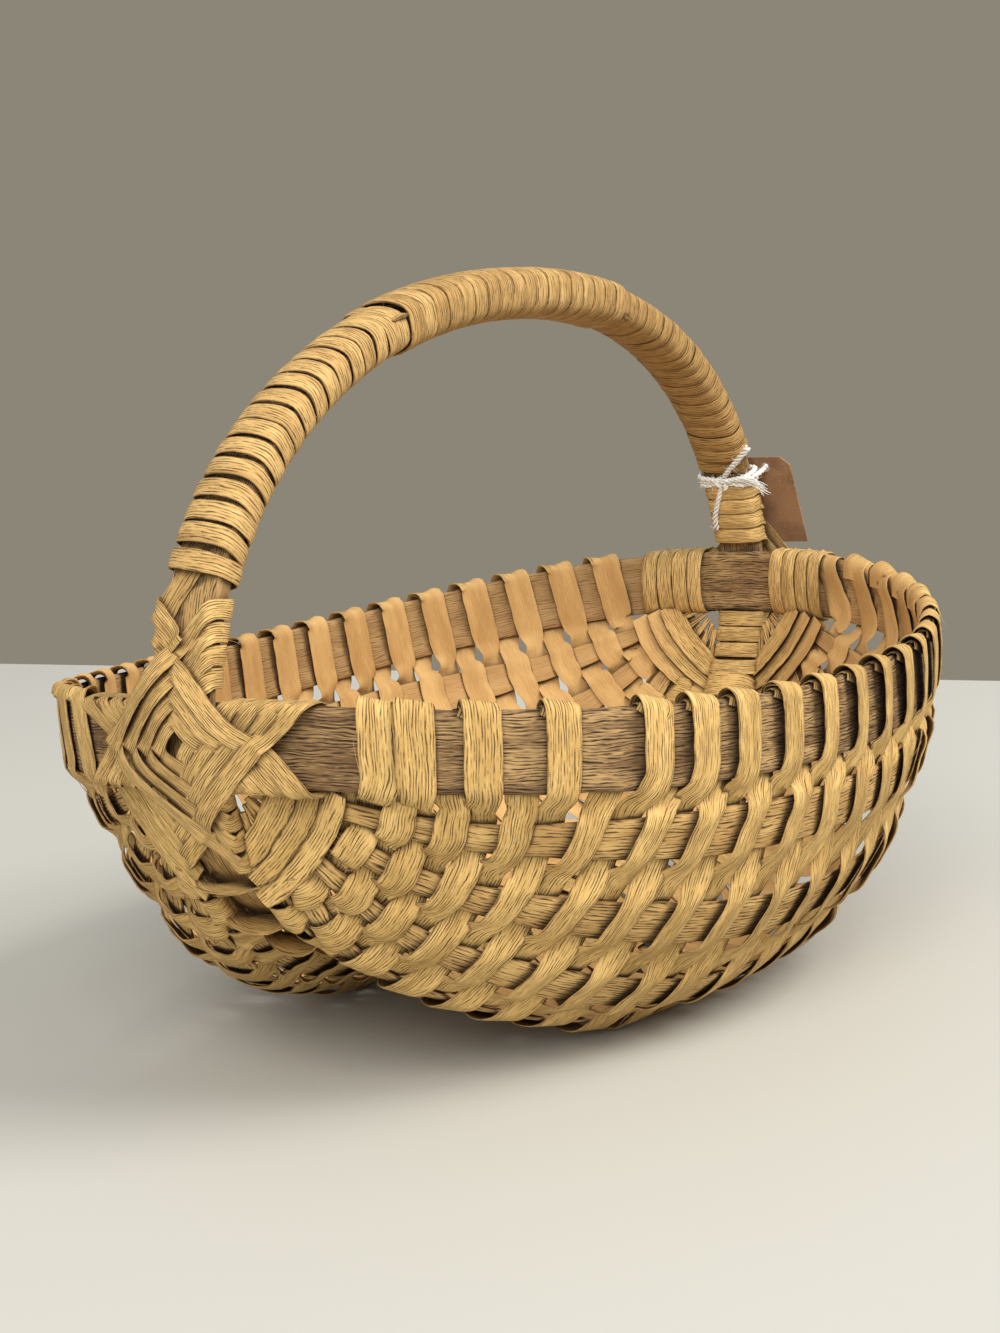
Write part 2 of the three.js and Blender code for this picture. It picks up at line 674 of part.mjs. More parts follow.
// The least distance between stretches of a strip that lie more than a few millimetres apart along it
function leastGap(stations) {
  const samples = [];
  let arc = 0;
  for (let i = 1; i < stations.length; i++) {
    const [a, b] = [stripRing(stations[i - 1]), stripRing(stations[i])];
    const run = stations[i].centre.distanceTo(stations[i - 1].centre);
    const steps = Math.max(1, Math.round(run / 1.2));
    for (let step = 0; step < steps; step++) {
      const ring = a.map((point, k) => point.clone().lerp(b[k], step / steps));
      for (const share of [0, 0.5, 1]) {
        samples.push({ arc: arc + (run * step) / steps, point: ring[0].clone().lerp(ring[1], share) });
        samples.push({ arc: arc + (run * step) / steps, point: ring[3].clone().lerp(ring[2], share) });
      }
    }
    arc += run;
  }
  let least = Infinity;
  const apart = 4 * stations[0].width;
  for (let i = 0; i < samples.length; i++) {
    for (let j = i + 1; j < samples.length; j++) {
      if (samples[j].arc - samples[i].arc > apart) {
        least = Math.min(least, samples[i].point.distanceTo(samples[j].point));
      }
    }
  }
  return least;
}

// Materials
const bark = (color, roughness) => new THREE.MeshStandardMaterial({ color, roughness, metalness: 0 });
const weaverBark = bark(0xc9a160, 0.75);
const ribBark = bark(0xb98d4e, 0.8);
const rimWood = bark(0x8f6a3f, 0.85);
const handleWood = bark(0xa67f49, 0.8);
const lashingBark = bark(0xc39a58, 0.75);
const whiteTwine = bark(0xe9e4d8, 0.9);
const tagCard = bark(0xb0713f, 0.85);

const basket = new THREE.Group();

function addMesh(name, geometry, material) {
  const mesh = new THREE.Mesh(geometry, material);
  mesh.name = name;
  basket.add(mesh);
  return mesh;
}

addMesh('rim_hoop', sweep(hoopRings(rims[-1], rims[1]), true), rimWood);
addMesh('handle_hoop', sweep(hoopRings(spine, handle), true), handleWood);

for (const side of [-1, 1]) {
  ribs[side].forEach((track, i) => {
    const name = `rib_${side < 0 ? 'near' : 'far'}_${i + 1}`;
    addMesh(name, sweep(track.stations.map(stripRing)), ribBark);
  });
}

for (let weaver = 0; weaver < weaverCount; weaver++) {
  const name = `weaver_${String(weaver + 1).padStart(2, '0')}`;
  addMesh(name, sweep(weaverStations(weaver).map(stripRing)), weaverBark);
}

for (const end of [-1, 1]) {
  const name = `eye_lashing_${end < 0 ? 'left' : 'right'}`;
  const stations = lashingStations(end);
  addMesh(name, sweep(stations.map(stripRing)), lashingBark);
  console.log(`${name} least gap to itself ${leastGap(stations).toFixed(2)} mm`);
}

function addWinding(name, size, from, to) {
  const stations = windingStations(size, from, to);
  addMesh(name, sweep(stations.map(stripRing)), lashingBark);
  console.log(`${name} least gap to itself ${leastGap(stations).toFixed(2)} mm`);
}

const gripStart = handle.length / 2 + gripShift - gripLength / 2;
const gripEnd = gripStart + gripLength;
const stringPlace = handle.length - stringAbove;
addWinding('handle_winding_left', legWinding.left, lashingReach + windingStart, gripStart - gripToLegWinding);
addWinding('handle_winding_grip', gripWinding, gripStart, gripEnd);
addWinding('handle_winding_right', legWinding.right, gripEnd + gripToLegWinding, stringPlace - windingToString);

// The string and the tag stand in the leg's own frame: sideways along Y, out of the leg, and up along it
const leg = handle.at(stringPlace / handle.length);
const legUp = leg.along.clone().negate();
const legPoint = (sideways, out, up) => leg.centre.clone()
  .addScaledVector(yAxis, sideways)
  .addScaledVector(leg.out, out)
  .addScaledVector(legUp, up);

function addTube(name, points, steps, material) {
  const radius = stringDiameter / 2;
  const section = new THREE.Shape();
  section.absarc(0, 0, radius, 0, 2 * Math.PI);
  const options = { steps, curveSegments: 4, bevelEnabled: false, extrudePath: new THREE.CatmullRomCurve3(points) };
  addMesh(name, new THREE.ExtrudeGeometry(section, options), material);
}

const stringRadius = stringDiameter / 2;
const edgeOff = leg.width / 2 + clearance + stringRadius;
const faceOff = leg.thickness / 2 + clearance + stringRadius;
const knotOff = leg.thickness / 2 + clearance + knotRadius * knotDepthShare;
const knotEnd = knotRadius + clearance;
addTube('tag_string', [
  legPoint(-knotEnd, -knotOff, 0),
  legPoint(-edgeOff + 1, -faceOff - 0.6, 0),
  legPoint(-edgeOff - 1.4, -1, 0),
  legPoint(-tagOffset, tagStandOff - 4, 0),
  legPoint(-tagOffset, tagStandOff, 0),
  legPoint(-tagOffset + 1.6, tagStandOff + 3.2, 0),
  legPoint(-tagOffset + 6, tagStandOff + 3.4, 0),
  legPoint(edgeOff - 2.5, faceOff + 3, 0),
  legPoint(edgeOff + 0.6, 0, 0),
  legPoint(edgeOff - 1, -faceOff - 0.6, 0),
  legPoint(knotEnd, -knotOff, 0),
], 30, whiteTwine);

const knot = new THREE.IcosahedronGeometry(knotRadius, 1);
knot.scale(1, knotDepthShare, knotHeightShare);
const knotMesh = addMesh('tag_string_knot', knot, whiteTwine);
knotMesh.position.copy(legPoint(0, -knotOff, 0));
knotMesh.setRotationFromMatrix(new THREE.Matrix4().makeBasis(yAxis, leg.out.clone().negate(), legUp));

const tailStart = knotHeightShare * knotRadius + clearance;
addTube('tag_string_tail_up', [
  legPoint(-1, -knotOff, tailStart + 0.4),
  legPoint(-5, -knotOff - 1.5, tailStart + 4),
  legPoint(-11, -knotOff - 2.5, tailStart + 9.5),
  legPoint(-17, -knotOff - 2, tailStart + 15),
], 6, whiteTwine);
addTube('tag_string_tail_down', [
  legPoint(1, -knotOff, -tailStart - 0.4),
  legPoint(4, -knotOff - 1.5, -tailStart - 6),
  legPoint(6.5, -knotOff - 2.5, -tailStart - 12),
  legPoint(7.5, -knotOff - 2.5, -tailStart - 18),
], 6, whiteTwine);

// The tag: a plain card with clipped upper corners and one hole
const halfTag = tagWidth / 2;
const tagTop = tagHoleInset;
const tagOutline = new THREE.Shape([
  new THREE.Vector2(-halfTag, tagTop - tagLength),
  new THREE.Vector2(halfTag, tagTop - tagLength),
  new THREE.Vector2(halfTag, tagTop - tagCorner),
  new THREE.Vector2(halfTag - tagCorner, tagTop),
  new THREE.Vector2(-halfTag + tagCorner, tagTop),
  new THREE.Vector2(-halfTag, tagTop - tagCorner),
]);
const tagHole = new THREE.Path();
tagHole.absarc(0, 0, tagHoleRadius, 0, 2 * Math.PI);
tagOutline.holes.push(tagHole);
const tagShape = new THREE.ExtrudeGeometry(tagOutline, { depth: tagThickness, curveSegments: 6, bevelEnabled: false });
tagShape.translate(0, 0, -tagThickness / 2);
const tag = addMesh('tag', tagShape, tagCard);
tag.position.copy(legPoint(-tagOffset, tagStandOff, 0));
tag.setRotationFromMatrix(new THREE.Matrix4().makeBasis(yAxis, legUp, leg.out));

export default basket;
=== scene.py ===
import itertools
import json
import math
import random

import bpy
import numpy as np
from mathutils.bvhtree import BVHTree
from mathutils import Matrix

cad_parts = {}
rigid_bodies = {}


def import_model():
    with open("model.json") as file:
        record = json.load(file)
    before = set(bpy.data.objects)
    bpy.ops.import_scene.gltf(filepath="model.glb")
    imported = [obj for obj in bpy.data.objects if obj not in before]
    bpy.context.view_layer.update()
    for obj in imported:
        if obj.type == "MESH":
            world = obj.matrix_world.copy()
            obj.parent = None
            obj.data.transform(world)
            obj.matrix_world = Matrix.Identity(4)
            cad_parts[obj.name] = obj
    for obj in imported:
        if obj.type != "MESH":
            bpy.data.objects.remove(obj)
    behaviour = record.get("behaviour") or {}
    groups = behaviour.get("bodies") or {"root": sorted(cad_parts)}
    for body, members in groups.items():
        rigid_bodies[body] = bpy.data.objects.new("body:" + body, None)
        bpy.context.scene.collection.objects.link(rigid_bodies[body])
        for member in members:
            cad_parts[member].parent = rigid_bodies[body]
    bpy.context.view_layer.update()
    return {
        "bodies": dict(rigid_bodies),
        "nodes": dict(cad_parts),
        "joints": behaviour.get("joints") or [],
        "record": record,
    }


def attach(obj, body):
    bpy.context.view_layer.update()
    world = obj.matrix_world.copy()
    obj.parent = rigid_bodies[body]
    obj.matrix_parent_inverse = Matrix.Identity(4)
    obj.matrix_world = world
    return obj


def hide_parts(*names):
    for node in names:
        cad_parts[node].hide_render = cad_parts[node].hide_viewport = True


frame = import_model()
nodes = frame["nodes"]
scene = bpy.context.scene


# The camera. It looks at the left eye and the near lobe from a little above the rim, and it leans
# slightly, because the photographed basket stood tilted on its two lobes.
photo_width, photo_height = 1000, 1333
focal_pixels = 2276.6
middle_pixel = (518.46, 646.95)
camera_azimuth = math.radians(-58.10)
camera_height_angle = math.radians(10.864)
basket_tilt = (-0.0804, 0.0010)
camera_distance = 0.8533
rim_middle = np.array([0.0, 0.0, 0.1265])
sensor_size = 36.0


def turn(axis, angle):
    c, s = math.cos(angle), math.sin(angle)
    if axis == "x":
        return np.array([[1, 0, 0], [0, c, -s], [0, s, c]])
    return np.array([[c, 0, s], [0, 1, 0], [-s, 0, c]])


towards = np.array([
    math.sin(camera_azimuth) * math.cos(camera_height_angle),
    -math.cos(camera_azimuth) * math.cos(camera_height_angle),
    math.sin(camera_height_angle),
])
rightwards = np.array([math.cos(camera_azimuth), math.sin(camera_azimuth), 0.0])
upwards = np.cross(towards, rightwards)
untilt = (turn("y", basket_tilt[1]) @ turn("x", basket_tilt[0])).T
view_axes = np.stack([untilt @ rightwards, untilt @ upwards, untilt @ towards], axis=1)
view_place = rim_middle + view_axes[:, 2] * camera_distance

camera_data = bpy.data.cameras.new("photo_view")
camera_data.sensor_fit = "VERTICAL"
camera_data.sensor_height = sensor_size
camera_data.lens = focal_pixels / photo_height * sensor_size
camera_data.shift_x = (photo_width / 2 - middle_pixel[0]) / photo_height
camera_data.shift_y = (middle_pixel[1] - photo_height / 2) / photo_height
camera = bpy.data.objects.new("photo_view", camera_data)
camera_matrix = np.eye(4)
camera_matrix[:3, :3] = view_axes
camera_matrix[:3, 3] = view_place
camera.matrix_world = camera_matrix.T.tolist()
scene.collection.objects.link(camera)
scene.camera = camera


# The rim: one flat split of dark brown wood, 26 mm tall, bent to a hoop. Its long fibres run round the
# basket and show as rough dark lines between the strips that wrap it.
mm = 0.001
step_length = 2.4  # mm, between the sections of a piece


class Value:
    """A number, colour or vector on its way through a finish, so that shader maths reads as arithmetic."""

    def __init__(self, finish, socket):
        self.finish = finish
        self.socket = socket

    def output(self, name):
        return Value(self.finish, self.socket.node.outputs[name])

    def __add__(self, other):
        return self.finish.maths("ADD", self, other)

    def __sub__(self, other):
        return self.finish.maths("SUBTRACT", self, other)

    def __mul__(self, other):
        return self.finish.maths("MULTIPLY", self, other)

    def __truediv__(self, other):
        return self.finish.maths("DIVIDE", self, other)

    def __radd__(self, other):
        return self.finish.maths("ADD", other, self)

    def __rsub__(self, other):
        return self.finish.maths("SUBTRACT", other, self)

    def __rmul__(self, other):
        return self.finish.maths("MULTIPLY", other, self)

    def __rtruediv__(self, other):
        return self.finish.maths("DIVIDE", other, self)


class Finish:
    """A material of the basket, with the nodes that paint it."""

    def __init__(self, name, roughness=0.7):
        self.material = bpy.data.materials.new(name)
        self.material.use_nodes = True
        self.tree = self.material.node_tree
        self.surface = self.tree.nodes["Principled BSDF"]
        self.surface.inputs["Roughness"].default_value = roughness
        self.surface.inputs["Specular IOR Level"].default_value = 0.25

    def node(self, kind, settings=None, sockets=None, output=0):
        node = self.tree.nodes.new("ShaderNode" + kind)
        for key, value in (settings or {}).items():
            setattr(node, key, value)
        for key, value in (sockets or {}).items():
            self.feed(node.inputs[key], value)
        return Value(self, node.outputs[output])

    def feed(self, socket, value):
        if isinstance(value, Value):
            self.tree.links.new(value.socket, socket)
        else:
            socket.default_value = value

    def maths(self, operation, first, second):
        return self.node("Math", {"operation": operation}, {0: first, 1: second})

    def noise(self, vector, detail=2.0, roughness=0.5):
        sockets = {"Vector": vector, "Scale": 1.0, "Detail": detail, "Roughness": roughness}
        return self.node("TexNoise", {}, sockets)

    def vector(self, x, y, z):
        return self.node("CombineXYZ", {}, {0: x, 1: y, 2: z})

    def ease(self, value, low, high):
        return self.node("MapRange", {"interpolation_type": "SMOOTHSTEP"}, {0: value, 1: low, 2: high})

    def blend(self, share, first, second):
        return self.node("Mix", {"data_type": "RGBA"}, {0: share, 6: first, 7: second}, output=2)

    def paint(self, colour, roughness=None, height=None, depth=0.3):
        self.feed(self.surface.inputs["Base Color"], colour)
        if roughness is not None:
            self.feed(self.surface.inputs["Roughness"], roughness)
        if height is not None:
            bump = self.node("Bump", {}, {"Strength": 1.0, "Distance": depth * mm, "Height": height})
            self.feed(self.surface.inputs["Normal"], bump)


def fibre_finish(name, light, dark, line, crack_and_shade, inner=None, spacing=1.15, wave=1.3, depth=0.4, cover=0.85,
                 inner_lines=0.18):
    """Bark or split wood: lengthwise fibres with dark lines between them, and slow changes of tone.

    Spacing, wave and the numbers that divide along, across and fibre are mm on the strip.
    """
    finish = Finish(name, roughness=0.78)
    place = finish.node("UVMap", {"uv_map": "Strip"})
    along = finish.node("SeparateXYZ", {}, {0: place})
    across = along.output("Y")
    sway = finish.noise(finish.vector(along / 15.0, across / 6.0, 3.0))
    fibre = across + sway * wave
    uneven = finish.noise(finish.vector(along / 11.0, fibre / 2.2, 0.0), detail=1.0)
    lanes = fibre / spacing + uneven * 1.6
    in_lane = finish.maths("FRACT", lanes, 0.0)
    beside_line = finish.maths("ABSOLUTE", in_lane - 0.5, 0.0) * 2.0
    lane = finish.maths("ROUND", lanes, 0.0)
    broken = finish.noise(finish.vector(along / 7.0, lane * 7.3, 5.0), detail=2.0, roughness=0.6)
    lines = finish.ease(beside_line, 0.45, 0.97) * finish.ease(broken, 0.34, 0.6)
    fine = finish.noise(finish.vector(along / 5.0, fibre / 0.25, 9.0), detail=1.0)
    slow = finish.noise(finish.vector(along / 38.0, across / 7.0, 21.0))
    tone = finish.node("Attribute", {"attribute_name": "tone"}, output="Fac")
    body = finish.blend(finish.ease(slow + (fine - 0.5) * 0.9 + tone, 0.28, 0.74), dark, light)
    body = finish.blend(lines * cover, body, line)
    deep = finish.ease(lines * broken, 0.42, 0.62)
    # The darkest colour serves the real cracks here and the painted shade in the crossings below.
    body = finish.blend(deep * 0.85, body, crack_and_shade)
    # Darker edges: partly the bark's own rough cut edges, partly painted shade between neighbouring strips.
    edge = finish.node("Attribute", {"attribute_name": "edge"}, output="Fac")
    body = finish.blend(finish.ease(edge + (broken - 0.5) * 0.5, 0.55, 1.1) * 0.5, body, line)
    height = fine * 0.3 - lines * 0.9
    if inner is not None:
        inside = finish.node("Attribute", {"attribute_name": "inside"}, output="Fac")
        smooth = finish.blend(finish.ease(slow + (fine - 0.5) * 0.6 + tone, 0.25, 0.8), inner[1], inner[0])
        body = finish.blend(inside, body, finish.blend(lines * inner_lines, smooth, line))
        height = height * (1 - inside * 0.8)
    # Painted shade in the crossings: the strip is darkened towards its darkest colour where other strips
    # stand close over it.
    painted_shade = finish.node("Attribute", {"attribute_name": "painted_shade"}, output="Fac")
    body = finish.blend(finish.ease(painted_shade, 0.1, 0.85) * 0.86, body, crack_and_shade)
    finish.paint(body, roughness=0.86 - fine * 0.16, height=height, depth=depth)
    return finish.material


def corner_rings(node, eye=None, onwards=None):
    """The rings of four corners along a swept solid, in mm. A hoop is walked from its ring at one eye."""
    mesh = nodes[node].data
    numbers, corner_of = {}, []
    for vertex in mesh.vertices:
        key = tuple(round(c * 1e6) for c in vertex.co)
        corner_of.append(numbers.setdefault(key, len(numbers)))
    points = np.array(list(numbers), float) / 1000.0
    faces = [[corner_of[v] for v in polygon.vertices] for polygon in mesh.polygons]
    beside = [set() for _ in points]
    for face in faces:
        for corner in face:
            beside[corner].update(face)

    def around(corners):
        return set().union(*(beside[c] for c in corners)) - set(corners)

    def walk(first, second):
        layers = [set(first), set(second)]
        seen = layers[0] | layers[1]
        while True:
            following = around(layers[-1]) - seen
            if not following:
                return layers if len(seen) == len(points) else None
            if len(following) != 4:
                return None
            layers.append(following)
            seen |= following

    layers = None
    if eye is not None:
        first = [i for i, point in enumerate(points) if eye(point)]
        second = [i for i in around(first) if onwards(points[i])]
        layers = walk(first, second)
        middle = points[first].mean(0)
        spread = np.linalg.svd(points[first] - middle)[2]
        angles = {i: math.atan2(*(spread[:2] @ (points[i] - middle))) for i in first}
        order = sorted(first, key=angles.get)
    else:
        for face in faces:
            for other in faces:
                shared = set(face) & set(other)
                quad = set(face) | set(other)
                if layers is None and len(shared) == 2 and len(around(quad)) == 4:
                    layers = walk(quad, around(quad))
                    lone = (set(face) - shared).pop()
                    facing = (set(other) - shared).pop()
                    one, two = sorted(shared)
                    order = [lone, one, facing, two]
            if layers is not None:
                break
    rings = [order]
    for layer in layers[1:]:
        before = rings[-1]

        def joined(ring):
            return all(corner in beside[other] for corner, other in zip(ring, before))

        def reach(ring):
            return sum(np.linalg.norm(points[a] - points[b]) for a, b in zip(ring, before))

        rings.append(min(filter(joined, itertools.permutations(layer)), key=reach))
    return points[np.array(rings)]


def unit(vectors):
    return vectors / np.linalg.norm(vectors, axis=-1, keepdims=True)


inner_shares = (0.85, 0.75, 0.0)  # of a wall's point in plan, where the way out to it starts
inner_middle = (0.0, 0.0, 156.0)


def away(points):
    """The ways out of the basket's hollow at points of its wall, in mm."""
    inner = points * inner_shares + inner_middle
    return unit(points - inner)


# What the columns of a station's row hold: the ways as x, y and z, then the sizes
MIDDLE, ACROSS, OUT, HALVES, SIZES = slice(0, 3), slice(3, 6), slice(6, 9), slice(9, 11), slice(9, 13)
LEFT, THICK, CROWN = 9, 11, 12


class Run:
    """The way of a strip, station by station: its middle, the ways across it and out of it, and its sizes."""

    def __init__(self, rings, across_to, out_to):
        one, two = rings[:, 0] - rings[:, 1], rings[:, 0] - rings[:, 3]
        if np.linalg.norm(one, axis=1).mean() < np.linalg.norm(two, axis=1).mean():
            one, two = two, one
        self.middle = rings.mean(1)
        self.across, self.out = unit(one), unit(two)
        self.left = self.right = np.linalg.norm(one, axis=1) / 2
        self.thick = np.linalg.norm(two, axis=1)
        self.crown = np.zeros(len(rings))
        if (self.across * across_to).sum() < 0:
            self.across = -self.across
        outward = out_to(self.middle)
        if (self.out[:len(outward)] * outward).sum() < 0:
            self.out = -self.out

    @classmethod
    def from_rows(cls, rows):
        run = cls.__new__(cls)
        run.take(np.array(rows))
        return run

    def rows(self):
        sizes = [self.left, self.right, self.thick, self.crown]
        return np.hstack([self.middle, self.across, self.out, np.stack(sizes, 1)])

    def take(self, rows):
        self.middle, self.across, self.out = rows[:, MIDDLE], rows[:, ACROSS], rows[:, OUT]
        self.left, self.right, self.thick, self.crown = rows[:, SIZES].T.copy()

    def at(self, length):
        """The station at a length along the run."""
        return np.array([np.interp(length, self.lengths, column) for column in self.rows().T])

    def smooth(self, closed=False):
        """Puts close sections on smooth curves through the stations."""
        rows = self.rows()
        if closed:
            rows = np.vstack([rows[-1:], rows, rows[:2]])
        gaps = np.linalg.norm(np.diff(rows[:, MIDDLE], axis=0), axis=1)
        slopes = np.diff(rows, axis=0) / gaps[:, None]
        share = (gaps[1:] / (gaps[1:] + gaps[:-1]))[:, None]
        tangents = np.vstack([slopes[:1], slopes[:-1] * share + slopes[1:] * (1 - share), slopes[-1:]])
        dense = []
        for i in range(1 if closed else 0, len(rows) - (2 if closed else 1)):
            steps = max(3, math.ceil(gaps[i] / step_length))
            t = (np.arange(steps) / steps)[:, None]
            dense.append(
                rows[i] * (2 * t**3 - 3 * t**2 + 1) + rows[i + 1] * (3 * t**2 - 2 * t**3)
                + (tangents[i] * (t**3 - 2 * t**2 + t) + tangents[i + 1] * (t**3 - t**2)) * gaps[i]
            )
        if not closed:
            dense.append(rows[-1:])
        self.take(np.vstack(dense))
        ahead, behind = np.roll(self.middle, -1, axis=0), np.roll(self.middle, 1, axis=0)
        if not closed:
            ahead[-1], behind[0] = self.middle[-1], self.middle[0]
        along = unit(ahead - behind)
        self.across = unit(self.across - along * (self.across * along).sum(1)[:, None])
        out = np.cross(along, self.across)
        self.out = out * np.sign((out * self.out).sum(1))[:, None]
        steps = np.linalg.norm(np.diff(self.middle, axis=0), axis=1)
        self.lengths = np.concatenate([[0.0], np.cumsum(steps)])

    def fray(self, rng, size, left_reach, right_reach):
        """Makes both edges uneven by up to the size, each over about its reach."""
        self.left = self.left + wander(rng, self.lengths, left_reach, size)
        self.right = self.right + wander(rng, self.lengths, right_reach, size)


def wander(rng, lengths, reach, size):
    """Random changes along a piece, each over about the given reach and never more than the size."""
    knots = np.arange(-reach, lengths[-1] + 2 * reach, reach)
    return np.interp(lengths, knots, [rng.uniform(-size, size) for _ in knots])


def flat_section(columns=7, edge=0.3):
    """A strip's section: points across and their height, and the share across for the fibres."""
    shares = np.sin(np.linspace(-1, 1, columns) * math.pi / 2)
    heights = np.where(np.abs(shares) > 0.999, edge, 1.0)
    top = np.stack([shares, heights], 1)
    bottom = np.stack([shares[::-1], -heights[::-1]], 1)
    return np.vstack([top, bottom])


mouth_height = 126.5  # mm, of the two hoops' crossings
mouth_middle = np.array([0.0, 0.0, mouth_height])
bowl_reach = np.array([185.0, 142.5, 121.0])  # mm, from the mouth's middle to the eyes, sides and bottom


def through_wall(points):
    """The ways out through the wall at points of it, as if the basket were one plain bowl."""
    return unit((points - mouth_middle) / bowl_reach**2)


spine_reach, spine_fade, spine_smoothness = 22, 16, 0.12  # near the spine inner faces are fibrous too
face_offset = 40.0  # mm, between the fibres of a strip's two faces
bark_length = 9000  # mm, of the bark that all strips seem to be cut from
tone_reach = 45  # mm, over which a strip's own tone changes
inner_start, inner_slope = 0.1, 1.6  # how a face turns from outer to inner as it looks less outwards
sharp_angle = math.radians(50)
strip_faces = []


def strip_piece(name, runs, finish, body, replaced, section, closed=False, tone=0.1, paler=0.0):
    """One piece made of the runs, each with its section set along it, that stands for CAD nodes."""
    points, faces, places, tones, insides, edges, facings = [], [], [], [], [], [], []
    rng = random.Random(f"{name} tone")
    for run in runs:
        count, sides = len(run.middle), len(section)
        base = sum(len(p) for p in points)
        share, height = section[:, 0], section[:, 1]
        half = np.where(share[None, :] > 0, run.right[:, None], run.left[:, None])
        sideways = half * share
        lift = height * run.thick[:, None] / 2 + run.crown[:, None] * (1 - share**2)
        grid = (run.middle[:, None] + run.across[:, None] * sideways[..., None]
                + run.out[:, None] * lift[..., None])
        points.append(grid.reshape(-1, 3))
        facing = np.sign(height)[None, :, None] * run.out[:, None]
        looks = (facing * through_wall(grid)).sum(2)
        beside_spine = np.clip((np.abs(grid[..., 1]) - spine_reach) / spine_fade, spine_smoothness, 1)
        insides.append((np.clip(inner_start - inner_slope * looks, 0, 1) * beside_spine).ravel())
        # Nearness to the strip's edge, for its darker edges: partly the bark's own, partly painted shade
        # between strips.
        edges.append(np.tile(np.abs(share) ** 3, count))
        facings.append(facing.reshape(-1, 3))
        # A whole piece's painted light and shade: a positive shift paints it lighter, a negative one darker.
        own_tone = paler + rng.uniform(-tone, tone)
        tones.append(np.repeat(own_tone + wander(rng, run.lengths, tone_reach, tone / 2), sides))
        shift = rng.uniform(0, bark_length)
        u = np.repeat((run.lengths + shift)[:, None], sides, axis=1)
        v = sideways + np.where(height < 0, face_offset, 0.0)
        loop = [(i, j) for i in range(count if closed else count - 1) for j in range(sides)]
        for i, j in loop:
            following, beside = (i + 1) % count, (j + 1) % sides
            faces.append([base + i * sides + j, base + i * sides + beside,
                          base + following * sides + beside, base + following * sides + j])
            ahead = (run.lengths[-1] + step_length + shift) if following == 0 else u[following, 0]
            v_beside = v[i, j] if height[j] * height[beside] < 0 else v[i, beside]
            places += [(u[i, j], v[i, j]), (u[i, j], v_beside), (ahead, v_beside), (ahead, v[following, j])]
        if not closed:
            last = base + (count - 1) * sides
            ends = [list(range(base, base + sides))[::-1], list(range(last, last + sides))]
            for end, i in zip(ends, (0, count - 1)):
                faces.append(end)
                places += [(u[i, (c - base) % sides], v[i, (c - base) % sides]) for c in end]
    mesh = bpy.data.meshes.new(name)
    mesh.from_pydata((np.vstack(points) * mm).tolist(), [], faces)
    layer = mesh.uv_layers.new(name="Strip")
    layer.uv.foreach_set("vector", np.array(places, np.float32).ravel())
    for label, values in (("tone", tones), ("inside", insides), ("edge", edges)):
        attribute = mesh.attributes.new(label, "FLOAT", "POINT")
        attribute.data.foreach_set("value", np.concatenate(values).astype(np.float32))
    strip_faces.append((mesh, np.vstack(facings)))
    mesh.shade_smooth()
    mesh.set_sharp_from_angle(angle=sharp_angle)
    piece = bpy.data.objects.new(name, mesh)
    scene.collection.objects.link(piece)
    piece.data.materials.append(finish)
    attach(piece, body)
    if replaced:
        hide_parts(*replaced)


rim_finish = fibre_finish("rim_bark", light=(0.46, 0.29, 0.12, 1), dark=(0.155, 0.085, 0.037, 1),
                          line=(0.055, 0.03, 0.016, 1), crack_and_shade=(0.02, 0.011, 0.007, 1),
                          inner=[(0.50, 0.32, 0.14, 1), (0.38, 0.225, 0.09, 1)],
                          spacing=1.1, wave=2.4, depth=0.5, cover=0.95, inner_lines=0.6)
near_enough = 0.1  # mm, from the plane of a hoop's ring at the left eye
rim = Run(corner_rings("rim_hoop", lambda p: p[0] < 0 and abs(p[1]) < near_enough, lambda p: p[1] < 0),
          (0, 0, 1), away)
rim.smooth(closed=True)
rng = random.Random(11)
rim_crown = 0.4
rim_unevenness, rim_reach = 0.25, 9  # mm, at its edges and along them
rim.fray(rng, rim_unevenness, rim_reach, rim_reach)
rim.crown = rim.crown + rim_crown
strip_piece("rim_band", [rim], rim_finish, "basket", ["rim_hoop"], flat_section(9),
            closed=True, tone=0.25)


# The handle and the spine: one long split of paler wood that runs down inside the windings, past the
# eyes and under the basket. It is bare just above the left eye, where its fibres show.
handle_finish = fibre_finish("handle_wood", light=(0.62, 0.41, 0.165, 1), dark=(0.42, 0.25, 0.09, 1),
                             line=(0.15, 0.08, 0.032, 1), crack_and_shade=(0.05, 0.026, 0.013, 1),
                             spacing=1.0, wave=0.9, depth=0.45)
handle = Run(corner_rings("handle_hoop", lambda p: p[0] < 0 and abs(p[2] - mouth_height) < near_enough,
                          lambda p: p[2] < mouth_height), (0, 1, 0), away)
handle.smooth(closed=True)
round_section = np.array([(1, 0.5), (0.94, 1), (0.5, 1), (0, 1), (-0.5, 1), (-0.94, 1), (-1, 0.5),
                          (-1, -0.5), (-0.94, -1), (-0.5, -1), (0, -1), (0.5, -1), (0.94, -1), (1, -0.5)])
strip_piece("handle_split", [handle], handle_finish, "basket", ["handle_hoop"],
            round_section[::-1], closed=True)


def along_handle(row):
    """How far along the handle's split a station stands beside it."""
    return handle.lengths[np.linalg.norm(handle.middle - row[MIDDLE], axis=1).argmin()]


